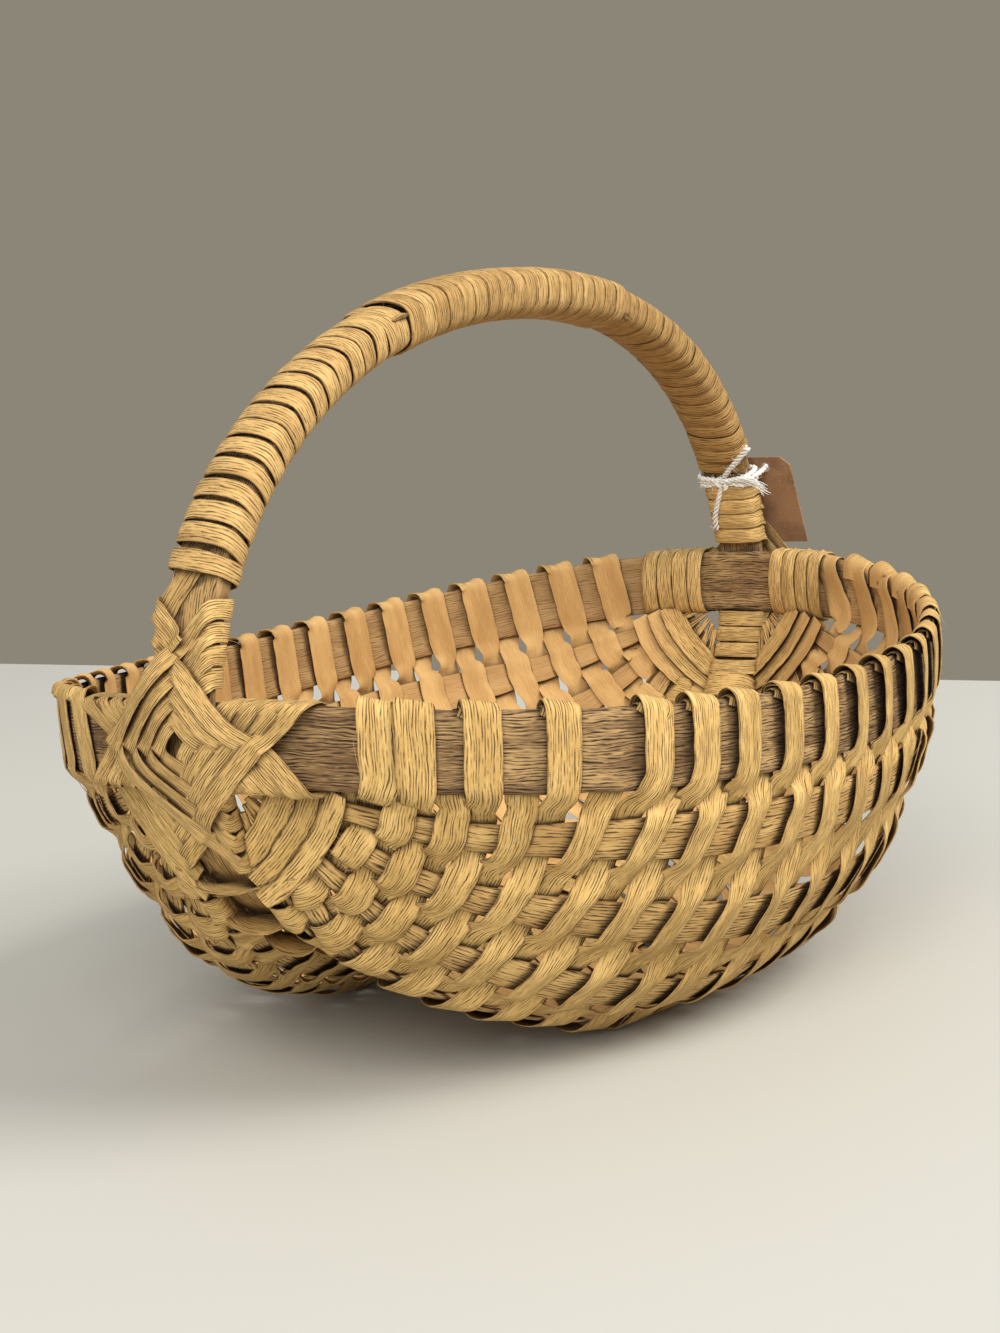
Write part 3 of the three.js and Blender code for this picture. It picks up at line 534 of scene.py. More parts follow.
# The ribs: ten broad bark strips that run from eye to eye, five under each lobe. Each is slightly
# domed, and only short stretches of it show between the strips woven over it.
rib_finish = fibre_finish("rib_bark", light=(0.66, 0.43, 0.16, 1), dark=(0.42, 0.245, 0.083, 1),
                          line=(0.11, 0.055, 0.022, 1), crack_and_shade=(0.035, 0.018, 0.009, 1),
                          inner=[(0.54, 0.33, 0.13, 1), (0.42, 0.235, 0.085, 1)],
                          spacing=1.25, wave=1.6, depth=0.55, cover=0.9)
rib_broadening = 1.3
rib_widest_half = 8.8
rib_crown = 0.5
rib_tip_length = 5.0  # mm, that each rib runs on behind the lashings
rib_unevenness, rib_reach = 0.35, 7
rib_numbers = range(1, 6)  # from the rim down
rib_runs = {}
for side in ("near", "far"):
    for number in rib_numbers:
        name = f"rib_{side}_{number}"
        rng = random.Random(name)
        rib = Run(corner_rings(name), (0, 0, 1), away)
        rib.left = rib.right = np.minimum(rib.left * rib_broadening, rib_widest_half)
        rows = rib.rows()
        tips = rows[[0, -1]]
        tips[:, MIDDLE] += unit(rows[[0, -1], MIDDLE] - rows[[1, -2], MIDDLE]) * rib_tip_length
        rib.take(np.vstack([tips[:1], rows, tips[1:]]))
        rib.smooth()
        rib_runs[side, number] = rib
        rib.crown = rib.crown + rib_crown
        rib.fray(rng, rib_unevenness, rib_reach, rib_reach)
        strip_piece(f"bark_{name}", [rib], rib_finish, "basket", [name], flat_section(),
                    tone=0.06)


# The weavers: long bark strips, half an inch wide, that go over and under the ribs from rim to rim and
# loop over the rim band. Between two ribs each strip rolls, so its left edge tucks behind the next one.
weaver_finish = fibre_finish("weaver_bark", light=(0.71, 0.465, 0.168, 1), dark=(0.48, 0.295, 0.094, 1),
                             line=(0.17, 0.09, 0.032, 1), crack_and_shade=(0.06, 0.03, 0.013, 1),
                             inner=[(0.66, 0.41, 0.16, 1), (0.50, 0.285, 0.10, 1)],
                             spacing=0.95, wave=1.1, cover=0.66)
surface_gap = 0.35  # mm, left between a strip and what it crosses
strip_half_thickness = 0.4
strip_crown = 0.35
strip_half_width, wrap_half_width, gap_half_width = 5.4, 6.0, 4.7
solid_gap_half_width = 4.7  # mm; the solid strips are narrower than this between two ribs
gap_roll = math.radians(17)
rib_roll = math.radians(8)
tail_shift, rise_shift = 1.2, 0.6  # mm to the left where a strip dives behind a rib, to the right elsewhere
edge_margin = 0.4  # mm, that a strip runs on flat past the edge of a rib
longest_flat = 0.75  # of the way from a rib's middle to the next gap
near_drifts = (6.5, 13.0, 15.5, 11.0, 5.0)  # mm along each near rib to the left, from the rim down
drift_end = 165  # mm from the basket's middle, where the strips no longer drift
wrap_shifts = {1: 3.5, 2: -7.0, 3: -8.5, 4: -4.8, 5: 6.0, 6: 3.0}  # mm along the rim
wrap_shift_shares = (0.8, 0.35, 0.1)  # of it, that the first three crossings below a wrap follow
rising_share = 0.9  # of it, where a strip comes up to the rim again
wrap_slant = 1.5  # mm, that a wrap leans to the left from the band's foot to its top
wrap_roll_places, wrap_rolls = (-60, 60, 150), (11, 8, -12)  # mm along the basket, and degrees
wrap_roll_spread = 4  # degrees
wrap_widening_places, wrap_widenings = (-40, 110), (1.0, 1.2)
far_spread, far_fade = 0.32, 30  # how far apart a far loop's runs stand, and mm up to where they meet
band_half_height = 13
weaver_count = 20
first_stations = 14  # of a strip, which tell its outer face: from its start down to the spine
pass_gaps = 12  # between the ribs and beside the rim and the spine, on each pass of a strip
width_shares = (0.97, 1.06)  # how narrow and how broad a strip may be
weaver_unevenness, left_edge_reach, right_edge_reach = 0.16, 3.1, 2.7

# Each loop over the rim, point by point: how high above the band's middle line, how far out of it, and
# the shares of up and out in the way that the strip faces there
near_loop = [(6.5, -2.9, (0, -1)), (13.9, -2.3, (1, -1)), (15.4, 0.5, (1, 0)), (13.7, 3.3, (1, 1)),
             (8.5, 4.1, (0, 1)), (0.0, 3.9, (0, 1)), (-8.0, 3.1, (0, 1))]
near_end = [(0.0, -2.0, (0, -1)), (12.4, -2.1, (1, -1)), (13.8, 0.0, (1, 0)), (12.8, 1.9, (1, 1)),
            (9.5, 2.1, (0, 1))]
far_loop = [(-8.0, 2.2, (0, 1)), (0.0, 2.5, (0, 1)), (9.0, 2.6, (0, 1)), (13.6, 2.2, (1, 1)),
            (14.8, 0.0, (1, 0)), (13.6, -2.4, (1, -1)), (8.5, -3.0, (0, -1)), (0.0, -2.8, (0, -1)),
            (-8.0, -2.3, (0, -1))]


def along_rim(row):
    """The rim's frame beside a station of a strip: the point on its middle line, its ways up and out."""
    i = np.linalg.norm(rim.middle - row[MIDDLE], axis=1).argmin()
    point = rim.middle[i] + row[ACROSS] * ((row[MIDDLE] - rim.middle[i]) @ row[ACROSS])
    return point, rim.across[i], rim.out[i]


def band_share(height):
    """How far up the rim band a point of a loop stands, from 0 at its foot to 1 at its top."""
    return (height + band_half_height) / (2 * band_half_height)


def loop_rows(like, loop, point, up, outward, leans, roll=0.0):
    """Stations of a loop over the rim, each leant along the rim, with its left edge rolled away from it."""
    rows = []
    for (height, distance, (up_share, out_share)), lean in zip(loop, leans):
        row = like.copy()
        faces = unit(up * up_share + outward * out_share)
        row[MIDDLE] = point + up * height + outward * distance + lean
        row[ACROSS] = like[ACROSS] * math.cos(roll) - faces * math.sin(roll)
        row[OUT] = faces * math.cos(roll) + like[ACROSS] * math.sin(roll)
        row[HALVES] = wrap_half_width
        rows.append(row)
    return rows


def lay_pass(rows, crossed, faces_out, near_lean):
    """One pass under the basket, laid close over the ribs that it crosses and rolled in the gaps."""
    in_gap = rows[:, LEFT] < solid_gap_half_width
    element = np.cumsum(in_gap) - 1
    moves = [np.zeros(3)]
    for number, (rib, drift) in enumerate(crossed):
        if rib is None:
            moves.append(np.zeros(3))
            continue
        middle = rows[~in_gap & (element == number), MIDDLE].mean(0)
        i = np.linalg.norm(rib.middle - middle, axis=1).argmin()
        fade = max(0.0, 1 - (middle[0] / drift_end) ** 6)
        rightwards_along = np.sign(rib.middle[-1, 0] - rib.middle[0, 0])
        moves.append(rib.at(rib.lengths[i] - rightwards_along * drift * fade)[MIDDLE] - rib.middle[i])
    moves.append(np.zeros(3))
    from_near_rim = (0, 1, 2) if faces_out > 0 else (-1, -2, -3)
    for place, share in zip(from_near_rim, wrap_shift_shares):
        moves[place] = moves[place] + near_lean * share
    rows = rows.copy()
    for i, row in enumerate(rows):
        row[MIDDLE] += (moves[element[i]] + moves[element[i] + 1]) / 2 if in_gap[i] else moves[element[i] + 1]
    laid = []
    for i, row in enumerate(rows):
        single = not in_gap[i] and in_gap[i - 1] and in_gap[i + 1]
        rib = crossed[element[i]][0] if not in_gap[i] else None
        if in_gap[i]:
            outward = row[OUT] * faces_out
            if 0 < i < len(rows) - 1:
                upper, lower = (i - 1, i + 1) if rows[i - 1, 2] > rows[i + 1, 2] else (i + 1, i - 1)
                goes_in = (rows[upper, MIDDLE] - rows[lower, MIDDLE]) @ outward > 0
            else:
                goes_in = faces_out > 0
            new = row.copy()
            new[MIDDLE] += row[ACROSS] * (-tail_shift if goes_in else rise_shift)
            new[ACROSS] = row[ACROSS] * math.cos(gap_roll) + outward * math.sin(gap_roll)
            new[OUT] = faces_out * (outward * math.cos(gap_roll) - row[ACROSS] * math.sin(gap_roll))
            new[HALVES] = gap_half_width
            laid.append(new)
        elif single and rib is not None:
            j = np.linalg.norm(rib.middle - row[MIDDLE], axis=1).argmin()
            base, down, outward = rib.middle[j], rib.across[j], rib.out[j]
            height = (row[MIDDLE] - base) @ outward
            side = np.sign(height)
            start = row[MIDDLE] - outward * height
            for other in (rows[i - 1], None, rows[i + 1]):
                new = row.copy()
                new[MIDDLE] = start
                if other is not None:
                    span = abs((other[MIDDLE] - start) @ down)
                    flat_share = min(longest_flat, (rib.left[j] + edge_margin) / span)
                    new[MIDDLE] += (other[MIDDLE] - start) * flat_share
                    new[MIDDLE] -= outward * ((new[MIDDLE] - base) @ outward)
                over = rib.thick[j] / 2 + surface_gap + strip_half_thickness
                new[HALVES] = strip_half_width
                new[MIDDLE] += outward * (side * over + (rib_crown if other is None else 0.0))
                new[OUT] = outward * faces_out
                if side > 0:
                    new[MIDDLE] += outward * strip_half_width * math.sin(rib_roll)
                    new[ACROSS] = row[ACROSS] * math.cos(rib_roll) - outward * math.sin(rib_roll)
                    new[OUT] = faces_out * (outward * math.cos(rib_roll) + row[ACROSS] * math.sin(rib_roll))
                new[CROWN] = strip_crown * faces_out if side > 0 else 0.0
                laid.append(new)
        else:
            laid.append(row)
    return laid


near_crossed = [(rib_runs["near", number], near_drifts[number - 1]) for number in rib_numbers]
far_crossed = [(rib_runs["far", number], 0.0) for number in reversed(rib_numbers)]
out_crossed = near_crossed + [(None, 0.0)] + far_crossed
weaver_runs = []
for number in range(1, weaver_count + 1):
    name = f"weaver_{number:02d}"
    rng = random.Random(name)
    rings = corner_rings(name)
    if rings[0].mean(0)[2] < 0 or rings[2].mean(0)[1] > 0:
        rings = rings[::-1]
    weaver = Run(rings, (1, 0, 0), lambda points: away(points[:first_stations]))
    rows = weaver.rows()
    gaps = np.flatnonzero(weaver.left < solid_gap_half_width)
    out_gaps, back_gaps = gaps[:pass_gaps], gaps[pass_gaps:2 * pass_gaps]
    near_low, far_low = rows[2], rows[out_gaps[-1] + 1]
    far_in_low, near_in_low = rows[back_gaps[0] - 1], rows[-3]
    along_x = near_low[0]

    point, up, outward = along_rim(near_low)
    shift = near_low[ACROSS] * wrap_shifts.get(number, 0.0)
    leans = [shift - near_low[ACROSS] * wrap_slant * band_share(height) for height, *_ in near_loop]
    roll = rng.uniform(-wrap_roll_spread, wrap_roll_spread) + np.interp(along_x, wrap_roll_places, wrap_rolls)
    path = loop_rows(near_low, near_loop, point, up, outward, leans, roll=math.radians(roll))
    for row in path:
        row[HALVES] *= np.interp(along_x, wrap_widening_places, wrap_widenings)
    foot = near_low.copy()
    foot[MIDDLE] += shift * wrap_shift_shares[0] - near_low[ACROSS] * tail_shift
    foot[HALVES] = strip_half_width
    path.append(foot)
    path += lay_pass(rows[out_gaps[0]:out_gaps[-1] + 1], out_crossed, 1, shift)

    point, up, outward = along_rim(far_low)
    across_rim = along_rim(far_in_low)[0] - point
    far_low[HALVES] = far_in_low[HALVES] = strip_half_width
    path.append(far_low)
    spreads = [far_spread * (1 - height / far_fade) * np.sign(distance) for height, distance, _ in far_loop]
    leans = [across_rim * (0.5 - spread) for spread in spreads]
    path += loop_rows(far_low, far_loop, point, up, outward, leans)
    path.append(far_in_low)
    next_shift = wrap_shifts.get(number + 1, 0.0)
    between = near_in_low[ACROSS] * (wrap_shifts.get(number, 0.0) + next_shift) / 2
    path += lay_pass(rows[back_gaps[0]:back_gaps[-1] + 1], out_crossed[::-1], -1, between)

    rising = near_in_low.copy()
    rising[MIDDLE] += between * rising_share
    rising[HALVES] = strip_half_width
    path.append(rising)
    point, up, outward = along_rim(near_in_low)
    next_wrap = 2 * ((rows[-1, MIDDLE] - near_in_low[MIDDLE]) @ near_in_low[ACROSS]) - wrap_slant + next_shift
    to_next_wrap = near_in_low[ACROSS] * next_wrap - between
    leans = [between + to_next_wrap * min(1.0, band_share(height)) for height, *_ in near_end]
    path += loop_rows(near_in_low, near_end, point, up, outward, leans)

    weaver.take(np.array(path))
    weaver.smooth()
    weaver.left = weaver.left * rng.uniform(*width_shares)
    weaver.left += wander(rng, weaver.lengths, left_edge_reach, weaver_unevenness)
    weaver.right = weaver.right * rng.uniform(*width_shares)
    weaver.right += wander(rng, weaver.lengths, right_edge_reach, weaver_unevenness)
    strip_piece(f"bark_{name}", [weaver], weaver_finish, "basket", [name], flat_section())
    weaver_runs.append(weaver)


# The eyes: at each crossing of the two hoops a narrower bark strip goes over, round and under the four
# arms in turn, four rounds from the middle outwards, and makes a diamond.
lashing_finish = fibre_finish("lashing_bark", light=(0.70, 0.46, 0.17, 1), dark=(0.50, 0.31, 0.105, 1),
                              line=(0.20, 0.11, 0.042, 1), crack_and_shade=(0.11, 0.055, 0.025, 1),
                              spacing=0.7, wave=0.7)
lashing_half_width = 3.25
lashing_unevenness, lashing_reach = 0.15, 4
lashing_tops = {}
for side in ("left", "right"):
    name = f"eye_lashing_{side}"
    rng = random.Random(name)
    lashing = Run(corner_rings(name), (0, 0, 1), lambda points: points * (1, 0, 0))
    lashing.left = lashing.right = np.full(len(lashing.left), lashing_half_width)
    lashing.smooth()
    lashing_tops[side] = along_handle(lashing.rows()[lashing.middle[:, 2].argmax()])
    lashing.left = lashing.left + wander(rng, lashing.lengths, lashing_reach, lashing_unevenness)
    strip_piece(f"bark_{name}", [lashing], lashing_finish, "basket", [name], flat_section(5))


# Short bark strips that fill the fan of rib tips beside each eye: in each lobe three on the outside of the
# ribs and three on the inside, which overlap like shingles from the rim band down to the spine.
fan_half_width, fan_thickness, fan_crown = 4.7, 0.8, 0.4
fan_roll = math.radians(13)
fan_reaches = (23.0, 15.5, 8.0)  # mm from the ribs' tips to each strip of a fan
fan_slant = 0.7  # mm further at each rib, from the rim down
inner_fan_shift = 3.0
fan_lift, fan_step = 1.9, 0.25  # mm off the ribs' middle, and more with each strip that lies under it
fan_top, fan_tail = 6.5, 5.5  # mm, that a strip runs on past the first rib and past the last
fan_end_share = 0.75  # of its width, at both ends
fan_scatter, fan_width_scatter, fan_unevenness = 0.8, 0.3, 0.3
for eye, side, face in itertools.product(("left", "right"), ("near", "far"), ("outer", "inner")):
    facing = 1 if face == "outer" else -1
    for place, reach in enumerate(fan_reaches):
        label = f"bark_fan_{eye}_{side}_{face}_{place + 1}"
        rng = random.Random(label)
        reach += inner_fan_shift * (facing < 0) + rng.uniform(-fan_scatter, fan_scatter)
        rows = []
        for number in rib_numbers:
            rib = rib_runs[side, number]
            low_end = (rib.middle[0, 0] < rib.middle[-1, 0]) == (eye == "left")
            from_tip = reach + fan_slant * number
            row = rib.at(from_tip if low_end else rib.lengths[-1] - from_tip)
            way = unit(rib.middle[1] - rib.middle[0]) if low_end else unit(rib.middle[-2] - rib.middle[-1])
            out = unit(row[OUT])
            row[MIDDLE] += out * facing * (fan_lift + fan_step * place)
            row[ACROSS] = way * math.cos(fan_roll) + out * facing * math.sin(fan_roll)
            row[OUT] = out * math.cos(fan_roll) - way * facing * math.sin(fan_roll)
            row[HALVES] = fan_half_width + rng.uniform(-fan_width_scatter, fan_width_scatter)
            row[THICK], row[CROWN] = fan_thickness, fan_crown
            rows.append(row)
        top, tail = rows[0].copy(), rows[-1].copy()
        top[MIDDLE] += unit(rows[0][MIDDLE] - rows[1][MIDDLE]) * fan_top
        tail[MIDDLE] += unit(rows[-1][MIDDLE] - rows[-2][MIDDLE]) * fan_tail
        top[HALVES] = tail[HALVES] = fan_half_width * fan_end_share
        fan = Run.from_rows([top] + rows + [tail])
        fan.smooth()
        fan.fray(rng, fan_unevenness, left_edge_reach, right_edge_reach)
        strip_piece(label, [fan], weaver_finish, "basket", [], flat_section())


# The windings of the handle: a broad strip in spaced turns on the left leg, a thicker one on the padded
# grip, and a narrow one in tight turns on the right leg. Both legs' strips run on into the grip's ends.
def moved_along(row, run, distance):
    """A station beside the handle, carried along it by a distance and turned with it."""
    i = np.linalg.norm(run.middle - row[MIDDLE], axis=1).argmin()
    here, there = run.at(run.lengths[i]), run.at(run.lengths[i] + distance)
    frames = []
    for frame in (here, there):
        across, out = unit(frame[ACROSS]), unit(frame[OUT])
        frames.append(np.stack([across, out, np.cross(across, out)], axis=1))
    turn_over = frames[1] @ frames[0].T
    new = row.copy()
    new[MIDDLE] = there[MIDDLE] + turn_over @ (row[MIDDLE] - here[MIDDLE])
    new[ACROSS], new[OUT] = turn_over @ row[ACROSS], turn_over @ row[OUT]
    return new


winding_finish = fibre_finish("winding_bark", light=(0.62, 0.40, 0.15, 1), dark=(0.40, 0.235, 0.077, 1),
                              line=(0.14, 0.07, 0.025, 1), crack_and_shade=(0.07, 0.034, 0.014, 1),
                              spacing=1.1, wave=0.8, cover=0.6)
extra_turns = {"left": (0, 2), "grip": (1, 1), "right": (2, 0)}  # before a winding's start and past its end
turn_unevenness = {"left": 0.7, "grip": 0.4, "right": 0.4}  # mm along the handle
winding_broadening = {"left": -0.1, "grip": 0.25, "right": 0.25}
# Painted light and shade on the windings: the left leg's strip is painted slightly lighter, the grip's and
# the right leg's darker.
winding_painted_shading = {"left": 0.06, "grip": -0.06, "right": -0.36}
winding_unevenness, winding_reach = 0.3, 8  # mm, at a strip's edges and along them
turn_stations = 4  # of a strip, to each turn round the handle
uneven_stations = 3
winding_starts = {}
for place in ("left", "grip", "right"):
    name = f"handle_winding_{place}"
    rng = random.Random(name)
    rows = list(Run(corner_rings(name), (1, 0, 0), away).rows())
    if rows[0][0] > rows[-1][0]:
        rows = rows[::-1]
    pitch = along_handle(rows[turn_stations]) - along_handle(rows[0])
    winding_starts[place] = along_handle(rows[0])
    before, after = extra_turns[place]
    for _ in range(before):
        rows = [moved_along(row, handle, -pitch) for row in rows[:turn_stations]] + rows
    for _ in range(after):
        rows += [moved_along(row, handle, pitch) for row in rows[-turn_stations:]]
    if place == "left":
        half_turn = rows[turn_stations // 2:turn_stations]
        rows = [moved_along(row, handle, -pitch) for row in half_turn] + rows
    uneven = wander(rng, np.arange(len(rows), dtype=float), uneven_stations, turn_unevenness[place])
    for row, shift in zip(rows, uneven):
        row[MIDDLE] += row[ACROSS] * shift
    winding = Run.from_rows(rows)
    winding.left = winding.right = winding.left + winding_broadening[place]
    winding.smooth()
    winding.fray(rng, winding_unevenness, winding_reach, winding_reach)
    strip_piece(f"bark_{name}", [winding], winding_finish, "basket", [name], flat_section(5),
                tone=0.07, paler=winding_painted_shading[place])


# A strip that comes up from behind the left eye's lashing, crosses the bare wood and goes in under the
# first turn of the winding.
tuck_low = lashing_tops["left"]
tuck_high = winding_starts["left"]
tuck_half_width, tuck_thickness, tuck_crown = 4.3, 0.8, 0.3
tuck_lift = 0.5  # mm, off the bare wood
tuck_course = ((-0.25, 9.5), (0.15, 7.0), (0.6, 3.6), (1.05, 0.5), (1.3, -1.5))  # share of the way, mm aside
tuck_rows = []
for share, sideways in tuck_course:
    row = handle.at(tuck_low + (tuck_high - tuck_low) * share)
    row[MIDDLE] += row[ACROSS] * sideways + row[OUT] * (row[THICK] / 2 + tuck_lift)
    row[HALVES], row[THICK], row[CROWN] = tuck_half_width, tuck_thickness, tuck_crown
    tuck_rows.append(row)
for i, row in enumerate(tuck_rows):
    ahead, behind = tuck_rows[min(i + 1, len(tuck_rows) - 1)], tuck_rows[max(i - 1, 0)]
    row[ACROSS] = unit(np.cross(row[OUT], ahead[MIDDLE] - behind[MIDDLE]))
tuck = Run.from_rows(tuck_rows)
tuck.smooth()
strip_piece("bark_leg_tuck", [tuck], winding_finish, "basket", [], flat_section(5),
            tone=0.06)


# The twine: soft white cotton of three strands, tied round the right leg below the winding. It carries
# the tag, and its knot, two loose tails and a frayed end lie on the side of the hollow.
leg_out = unit(np.array([0.92524, 0.0, 0.37937]))
leg_up = np.cross(leg_out, (0.0, 1.0, 0.0))
hinge_point = np.array([188.329, -14.0, 176.047])  # mm, the middle of the tag's hole
hinge_aside, hinge_out = 14.0, 8.6  # mm, from the leg's middle to that hole
leg_middle = hinge_point + [0.0, hinge_aside, 0.0] - leg_out * hinge_out


def leg_point(sideways, out, up):
    """A point beside the right leg, in mm from the leg's middle at the twine."""
    return leg_middle + [0.0, sideways, 0.0] + leg_out * out + leg_up * up


def smooth_path(points, step=0.7):
    """Close points on a smooth curve through the given ones."""
    points = np.array(points, float)
    padded = np.vstack([2 * points[0] - points[1], points, 2 * points[-1] - points[-2]])
    dense = []
    for a, b, c, d in zip(padded, padded[1:], padded[2:], padded[3:]):
        count = max(2, math.ceil(np.linalg.norm(c - b) / step))
        t = (np.arange(count) / count)[:, None]
        dense.append(b + 0.5 * t * (c - a + t * (2 * a - 5 * b + 4 * c - d + t * (3 * (b - c) + d - a))))
    return np.vstack(dense + [points[-1:]])


slanting_way = (0.31, 0.52, 0.79)  # along which no path starts


def ways_across(path):
    """Two ways across a path at each of its points, carried along it without a twist."""
    ways = unit(np.gradient(path, axis=0))
    normal = unit(np.cross(ways[0], slanting_way))
    normals = []
    for way in ways:
        normal = unit(normal - way * (normal @ way))
        normals.append(normal)
    return np.array(normals), np.cross(ways, normals)


def tube(path, radii, sides=6):
    """The points and faces of a thin round strand along a path."""
    normals, side_ways = ways_across(path)
    angles = np.arange(sides) * 2 * math.pi / sides
    cosines, sines = np.cos(angles)[None, :, None], np.sin(angles)[None, :, None]
    rings = cosines * normals[:, None] + sines * side_ways[:, None]
    points = path[:, None] + np.array(radii)[:, None, None] * rings
    faces = []
    for start in range(0, (len(path) - 1) * sides, sides):
        for j in range(sides):
            beside = (j + 1) % sides
            faces.append([start + j, start + beside, start + sides + beside, start + sides + j])
    faces += [list(range(sides))[::-1], list(range((len(path) - 1) * sides, len(path) * sides))]
    return points.reshape(-1, 3), faces


strand_place, strand_radius = 0.52, 0.62  # of the twine's radius
least_parting, most_parting = 0.6, 1.6  # of the twine's radius, where it frays wholly
frayed_thinning = 0.45


def twine_strands(path, radius, rng, fray=0.0, strands=3, lay=7.0):
    """Strands twisted round each other along a path, which part towards the end where it frays."""
    normals, side_ways = ways_across(path)
    lengths = np.concatenate([[0.0], np.cumsum(np.linalg.norm(np.diff(path, axis=0), axis=1))])
    parts = []
    for strand in range(strands):
        angles = lengths * 2 * math.pi / lay + strand * 2 * math.pi / strands
        parting = fray * (lengths / lengths[-1]) ** 2 * rng.uniform(least_parting, most_parting)
        apart = radius * (strand_place + parting)
        offsets = np.cos(angles)[:, None] * normals + np.sin(angles)[:, None] * side_ways
        thin = radius * strand_radius * (1 - frayed_thinning * fray * (lengths / lengths[-1]))
        parts.append(tube(path + offsets * apart[:, None], thin))
    return parts


tag_side = 3.0  # mm out from the leg's middle, where the space that the tag swings in begins
hair_root = 0.7  # of the twine's radius
hair_lengths = (0.5, 1.4)  # of the usual length
hair_middle, hair_tip = (0.5, 0.2), (0.7, 0.6)  # of a hair's length, straight off the twine and aside
hair_radii = (0.09, 0.075, 0.04)


def fuzz_hairs(path, radius, rng, count, length=2.2):
    """Short loose cotton hairs that stand off the twine, away from the tag's side of the leg."""
    parts = []
    clear = np.flatnonzero((path - leg_middle) @ leg_out < tag_side)
    for _ in range(count):
        i = rng.choice(clear)
        way = unit(np.array([rng.gauss(0, 1) for _ in range(3)]))
        bend = unit(np.array([rng.gauss(0, 1) for _ in range(3)]))
        start = path[i] + way * radius * hair_root
        reach = length * rng.uniform(*hair_lengths)
        middle = start + way * reach * hair_middle[0] + bend * reach * hair_middle[1]
        tip = start + way * reach * hair_tip[0] + bend * reach * hair_tip[1]
        parts.append(tube(np.array([start, middle, tip]), hair_radii, sides=3))
    return parts


def joined_piece(name, parts, material, replaced):
    """One piece from many small closed parts."""
    points, faces, base = [], [], 0
    for part_points, part_faces in parts:
        points.append(part_points)
        faces += [[corner + base for corner in face] for face in part_faces]
        base += len(part_points)
    mesh = bpy.data.meshes.new(name)
    mesh.from_pydata((np.vstack(points) * mm).tolist(), [], faces)
    mesh.shade_smooth()
    mesh.materials.append(material)
    piece = bpy.data.objects.new(name, mesh)
    scene.collection.objects.link(piece)
    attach(piece, "basket")
    if replaced:
        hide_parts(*replaced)


twine_finish = Finish("white_twine", roughness=0.95)
twine_place = twine_finish.node("TexCoord", {}, {}, output="Object")
fuzz = twine_finish.node("TexNoise", {}, {"Vector": twine_place, "Scale": 1400.0, "Detail": 2.0})
cotton = twine_finish.blend(fuzz, (0.66, 0.64, 0.58, 1), (0.90, 0.89, 0.85, 1))
twine_finish.paint(cotton, height=fuzz, depth=0.2)
twine_radius = 1.05
knot_off = 5.75  # mm, from the leg's middle to the knot on its inner face
leg_half_width = 11.3
twine_paths = {
    "tag_string": [
        [(-3, -knot_off, 0.5), (-leg_half_width + 1, -5.0, 0.9), (-leg_half_width - 1.4, -1, 0.6),
         (-hinge_aside, 4.6, 0.3), (-hinge_aside, hinge_out, 0), (-12.4, 12.0, 0), (-8, 12.4, 0),
         (0, 11.9, 0), (6, 10, 0), (10.6, 6, 0), (leg_half_width + 1.1, 0, 0.5),
         (leg_half_width - 1, -5.0, 0.9), (3, -knot_off, 0.6)],
        [(2.2, -knot_off - 0.4, 1.6), (leg_half_width - 1, -5.4, 2.6), (leg_half_width + 1.1, -0.5, 2.4),
         (leg_half_width - 1, 5.0, 2.0), (0, 5.6, 1.6), (-leg_half_width + 1, 5.0, 2.0),
         (-leg_half_width - 1.1, -0.5, 2.6), (-leg_half_width + 1, -5.4, 2.6), (-2.2, -knot_off - 0.4, 1.4)],
        [(-2.6, -knot_off, -0.9), (-leg_half_width + 1, -5.1, -1.2), (-leg_half_width - 0.9, -0.5, -1.4),
         (-leg_half_width + 1, 4.9, -1.6), (0, 5.4, -1.7), (leg_half_width - 1, 4.9, -1.5),
         (leg_half_width + 0.9, -0.5, -1.3), (leg_half_width - 1, -5.1, -1.1), (2.6, -knot_off, -0.9)],
    ],
    "tag_string_tail_up": [[(-1, -knot_off, 3.0), (-5, -knot_off - 1.5, 7.2), (-11, -knot_off - 2.5, 12.5),
                            (-17, -knot_off - 2, 18)]],
    "tag_string_tail_down": [[(1, -knot_off - 1.2, -1.5), (4, -knot_off - 2.6, -8.8),
                              (6.5, -knot_off - 3.0, -15), (7.5, -knot_off - 3.0, -21)]],
}
frays = {"tag_string": 0.0, "tag_string_tail_up": 0.35, "tag_string_tail_down": 0.3}
string_hairs, tail_hairs, knot_hairs = 110, 60, 60  # on each course
for name, courses in twine_paths.items():
    rng = random.Random(name)
    parts = []
    for course in courses:
        path = smooth_path([leg_point(*point) for point in course])
        parts += twine_strands(path, twine_radius, rng, fray=frays[name])
        parts += fuzz_hairs(path, twine_radius, rng, string_hairs if name == "tag_string" else tail_hairs)
    joined_piece(f"cotton_{name}", parts, twine_finish.material, [name])

rng = random.Random("knot")
knot_points = 60
knot_width, knot_height, knot_lift = 1.05, 0.85, 0.4  # mm
knot_thickening = 1.05
turns = np.linspace(0, 2 * math.pi, knot_points)
knot_plan = np.stack([np.sin(turns) + 2 * np.sin(2 * turns), np.cos(turns) - 2 * np.cos(2 * turns),
                      -np.sin(3 * turns)], 1)
knot_path = np.array([leg_point(a * knot_width, -knot_off - knot_lift + c, b * knot_height)
                      for a, b, c in knot_plan])
knot_parts = twine_strands(knot_path, twine_radius * knot_thickening, rng)
knot_parts += fuzz_hairs(knot_path, twine_radius, rng, knot_hairs)
joined_piece("cotton_knot", knot_parts, twine_finish.material, ["tag_string_knot"])

